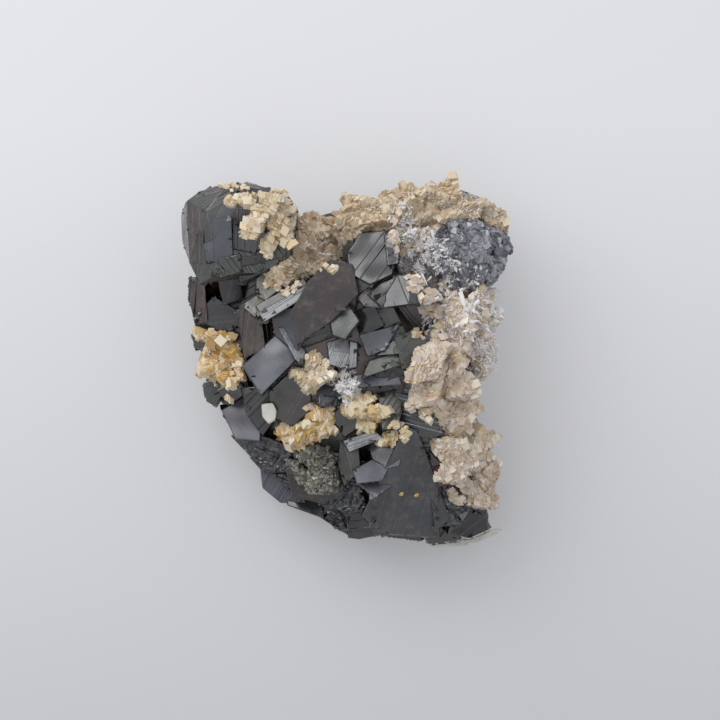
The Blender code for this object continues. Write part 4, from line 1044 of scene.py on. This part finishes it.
def heap(name, shape, material):
    """A softened lump of a solid's own form, covered with small crystals."""
    new_name, slot_name, (small, large), count, colours, seed = HEAPS[name]
    dice = np.random.default_rng(seed)
    base = merged_copy(name, new_name)
    softened(base, 0.5, 0.6, 4)
    points, normals, _ = points_on(base.data, count, dice)
    sizes = (small + (large - small) * dice.random(count) ** 2) * MM
    turns = turns_near(points, HEAP_TURNS, seed, dice)
    tints = shades(colours, count, dice)
    mesh = base.data
    bpy.data.objects.remove(base)
    piece = joined_copies(new_name, shape, turns, points - normals * 0.15 * sizes[:, None],
                          np.repeat(sizes[:, None], 3, axis=1), tints, mesh, linear(colours[0]))
    dress(piece, name, slot_name, material)


class SPECIMEN_OT_metallic(bpy.types.Operator):
    """Makes the galena cluster and the pyrite ball"""

    bl_idname = "specimen.metallic"
    bl_label = "Galena and pyrite"

    def execute(self, context):
        shape = cube_shape()
        heap("galena_cluster", shape, dull_galena())
        heap("pyrite_ball", shape, granular_pyrite())
        return {"FINISHED"}


class SPECIMEN_OT_calcite(bpy.types.Operator):
    """Makes the milky piece at the lower edge and the white grain"""

    bl_idname = "specimen.calcite"
    bl_label = "Milky calcite"

    def execute(self, context):
        material = milky_calcite()
        for name, new_name in (("calcite_foot", "milky_foot"), ("calcite_grain_white", "white_grain")):
            piece = merged_copy(name, new_name)
            softened(piece, 0.35, 0.5, 3)
            dress(piece, name, "calcite_white", material)
        return {"FINISHED"}


class SPECIMEN_OT_stage(bpy.types.Operator):
    """Makes the white sheet, the soft lights and the camera straight above"""

    bl_idname = "specimen.stage"
    bl_label = "Sheet, light and camera"

    def execute(self, context):
        bpy.ops.object.select_all(action="DESELECT")
        bpy.ops.mesh.primitive_plane_add(size=6.0, location=(0, 0, LOW.z))
        sheet = context.object
        sheet.name = "white_sheet"
        sheet.data.materials.append(white_paper())
        bpy.ops.object.light_add(type="AREA", location=LAMP_PLACE)
        lamp = context.object
        lamp.data.shape = "RECTANGLE"
        lamp.data.size, lamp.data.size_y = LAMP_SIZE
        lamp.data.energy = context.scene.specimen.light_power
        lamp.rotation_euler = (Vector(LAMP_AIM) - lamp.location).to_track_quat("-Z", "Y").to_euler()
        world = context.scene.world or bpy.data.worlds.new("room")
        context.scene.world = world
        light_tent(world)
        context.scene.view_settings.view_transform = "Standard"
        middle = place(PICTURE / 2, PICTURE / 2)
        distance = PICTURE * PIXEL * LENS / SENSOR
        bpy.ops.object.camera_add(location=(middle.x, middle.y, SCALE_HEIGHT + distance), rotation=(0, 0, 0))
        camera = context.object
        camera.data.lens = LENS
        camera.data.sensor_width = SENSOR
        camera.data.clip_start, camera.data.clip_end = 0.05, 20.0
        context.scene.camera = camera
        return {"FINISHED"}


class SPECIMEN_PT_panel(bpy.types.Panel):
    """The specimen's operators and settings in the sidebar"""

    bl_label = "Sphalerite specimen"
    bl_idname = "SPECIMEN_PT_panel"
    bl_space_type = "VIEW_3D"
    bl_region_type = "UI"
    bl_category = "Specimen"

    def draw(self, context):
        settings = context.scene.specimen
        for name in SpecimenSettings.__annotations__:
            self.layout.prop(settings, name)
        for operator in OPERATORS:
            self.layout.operator(operator.bl_idname)


OPERATORS = (
    SPECIMEN_OT_sphalerite, SPECIMEN_OT_carbonates, SPECIMEN_OT_quartz, SPECIMEN_OT_metallic,
    SPECIMEN_OT_calcite, SPECIMEN_OT_stage,
)
CLASSES = (SpecimenSettings, *OPERATORS, SPECIMEN_PT_panel)


def register():
    """Registers the settings, the operators and the panel."""
    for cls in CLASSES:
        bpy.utils.register_class(cls)
    bpy.types.Scene.specimen = bpy.props.PointerProperty(type=SpecimenSettings)


def unregister():
    """Removes what register added."""
    del bpy.types.Scene.specimen
    for cls in reversed(CLASSES):
        bpy.utils.unregister_class(cls)


def main():
    """Makes all pieces and the stage in order."""
    register()
    bpy.ops.specimen.sphalerite()
    bpy.ops.specimen.carbonates()
    bpy.ops.specimen.quartz()
    bpy.ops.specimen.metallic()
    bpy.ops.specimen.calcite()
    bpy.ops.specimen.stage()


if __name__ == "__main__":
    main()
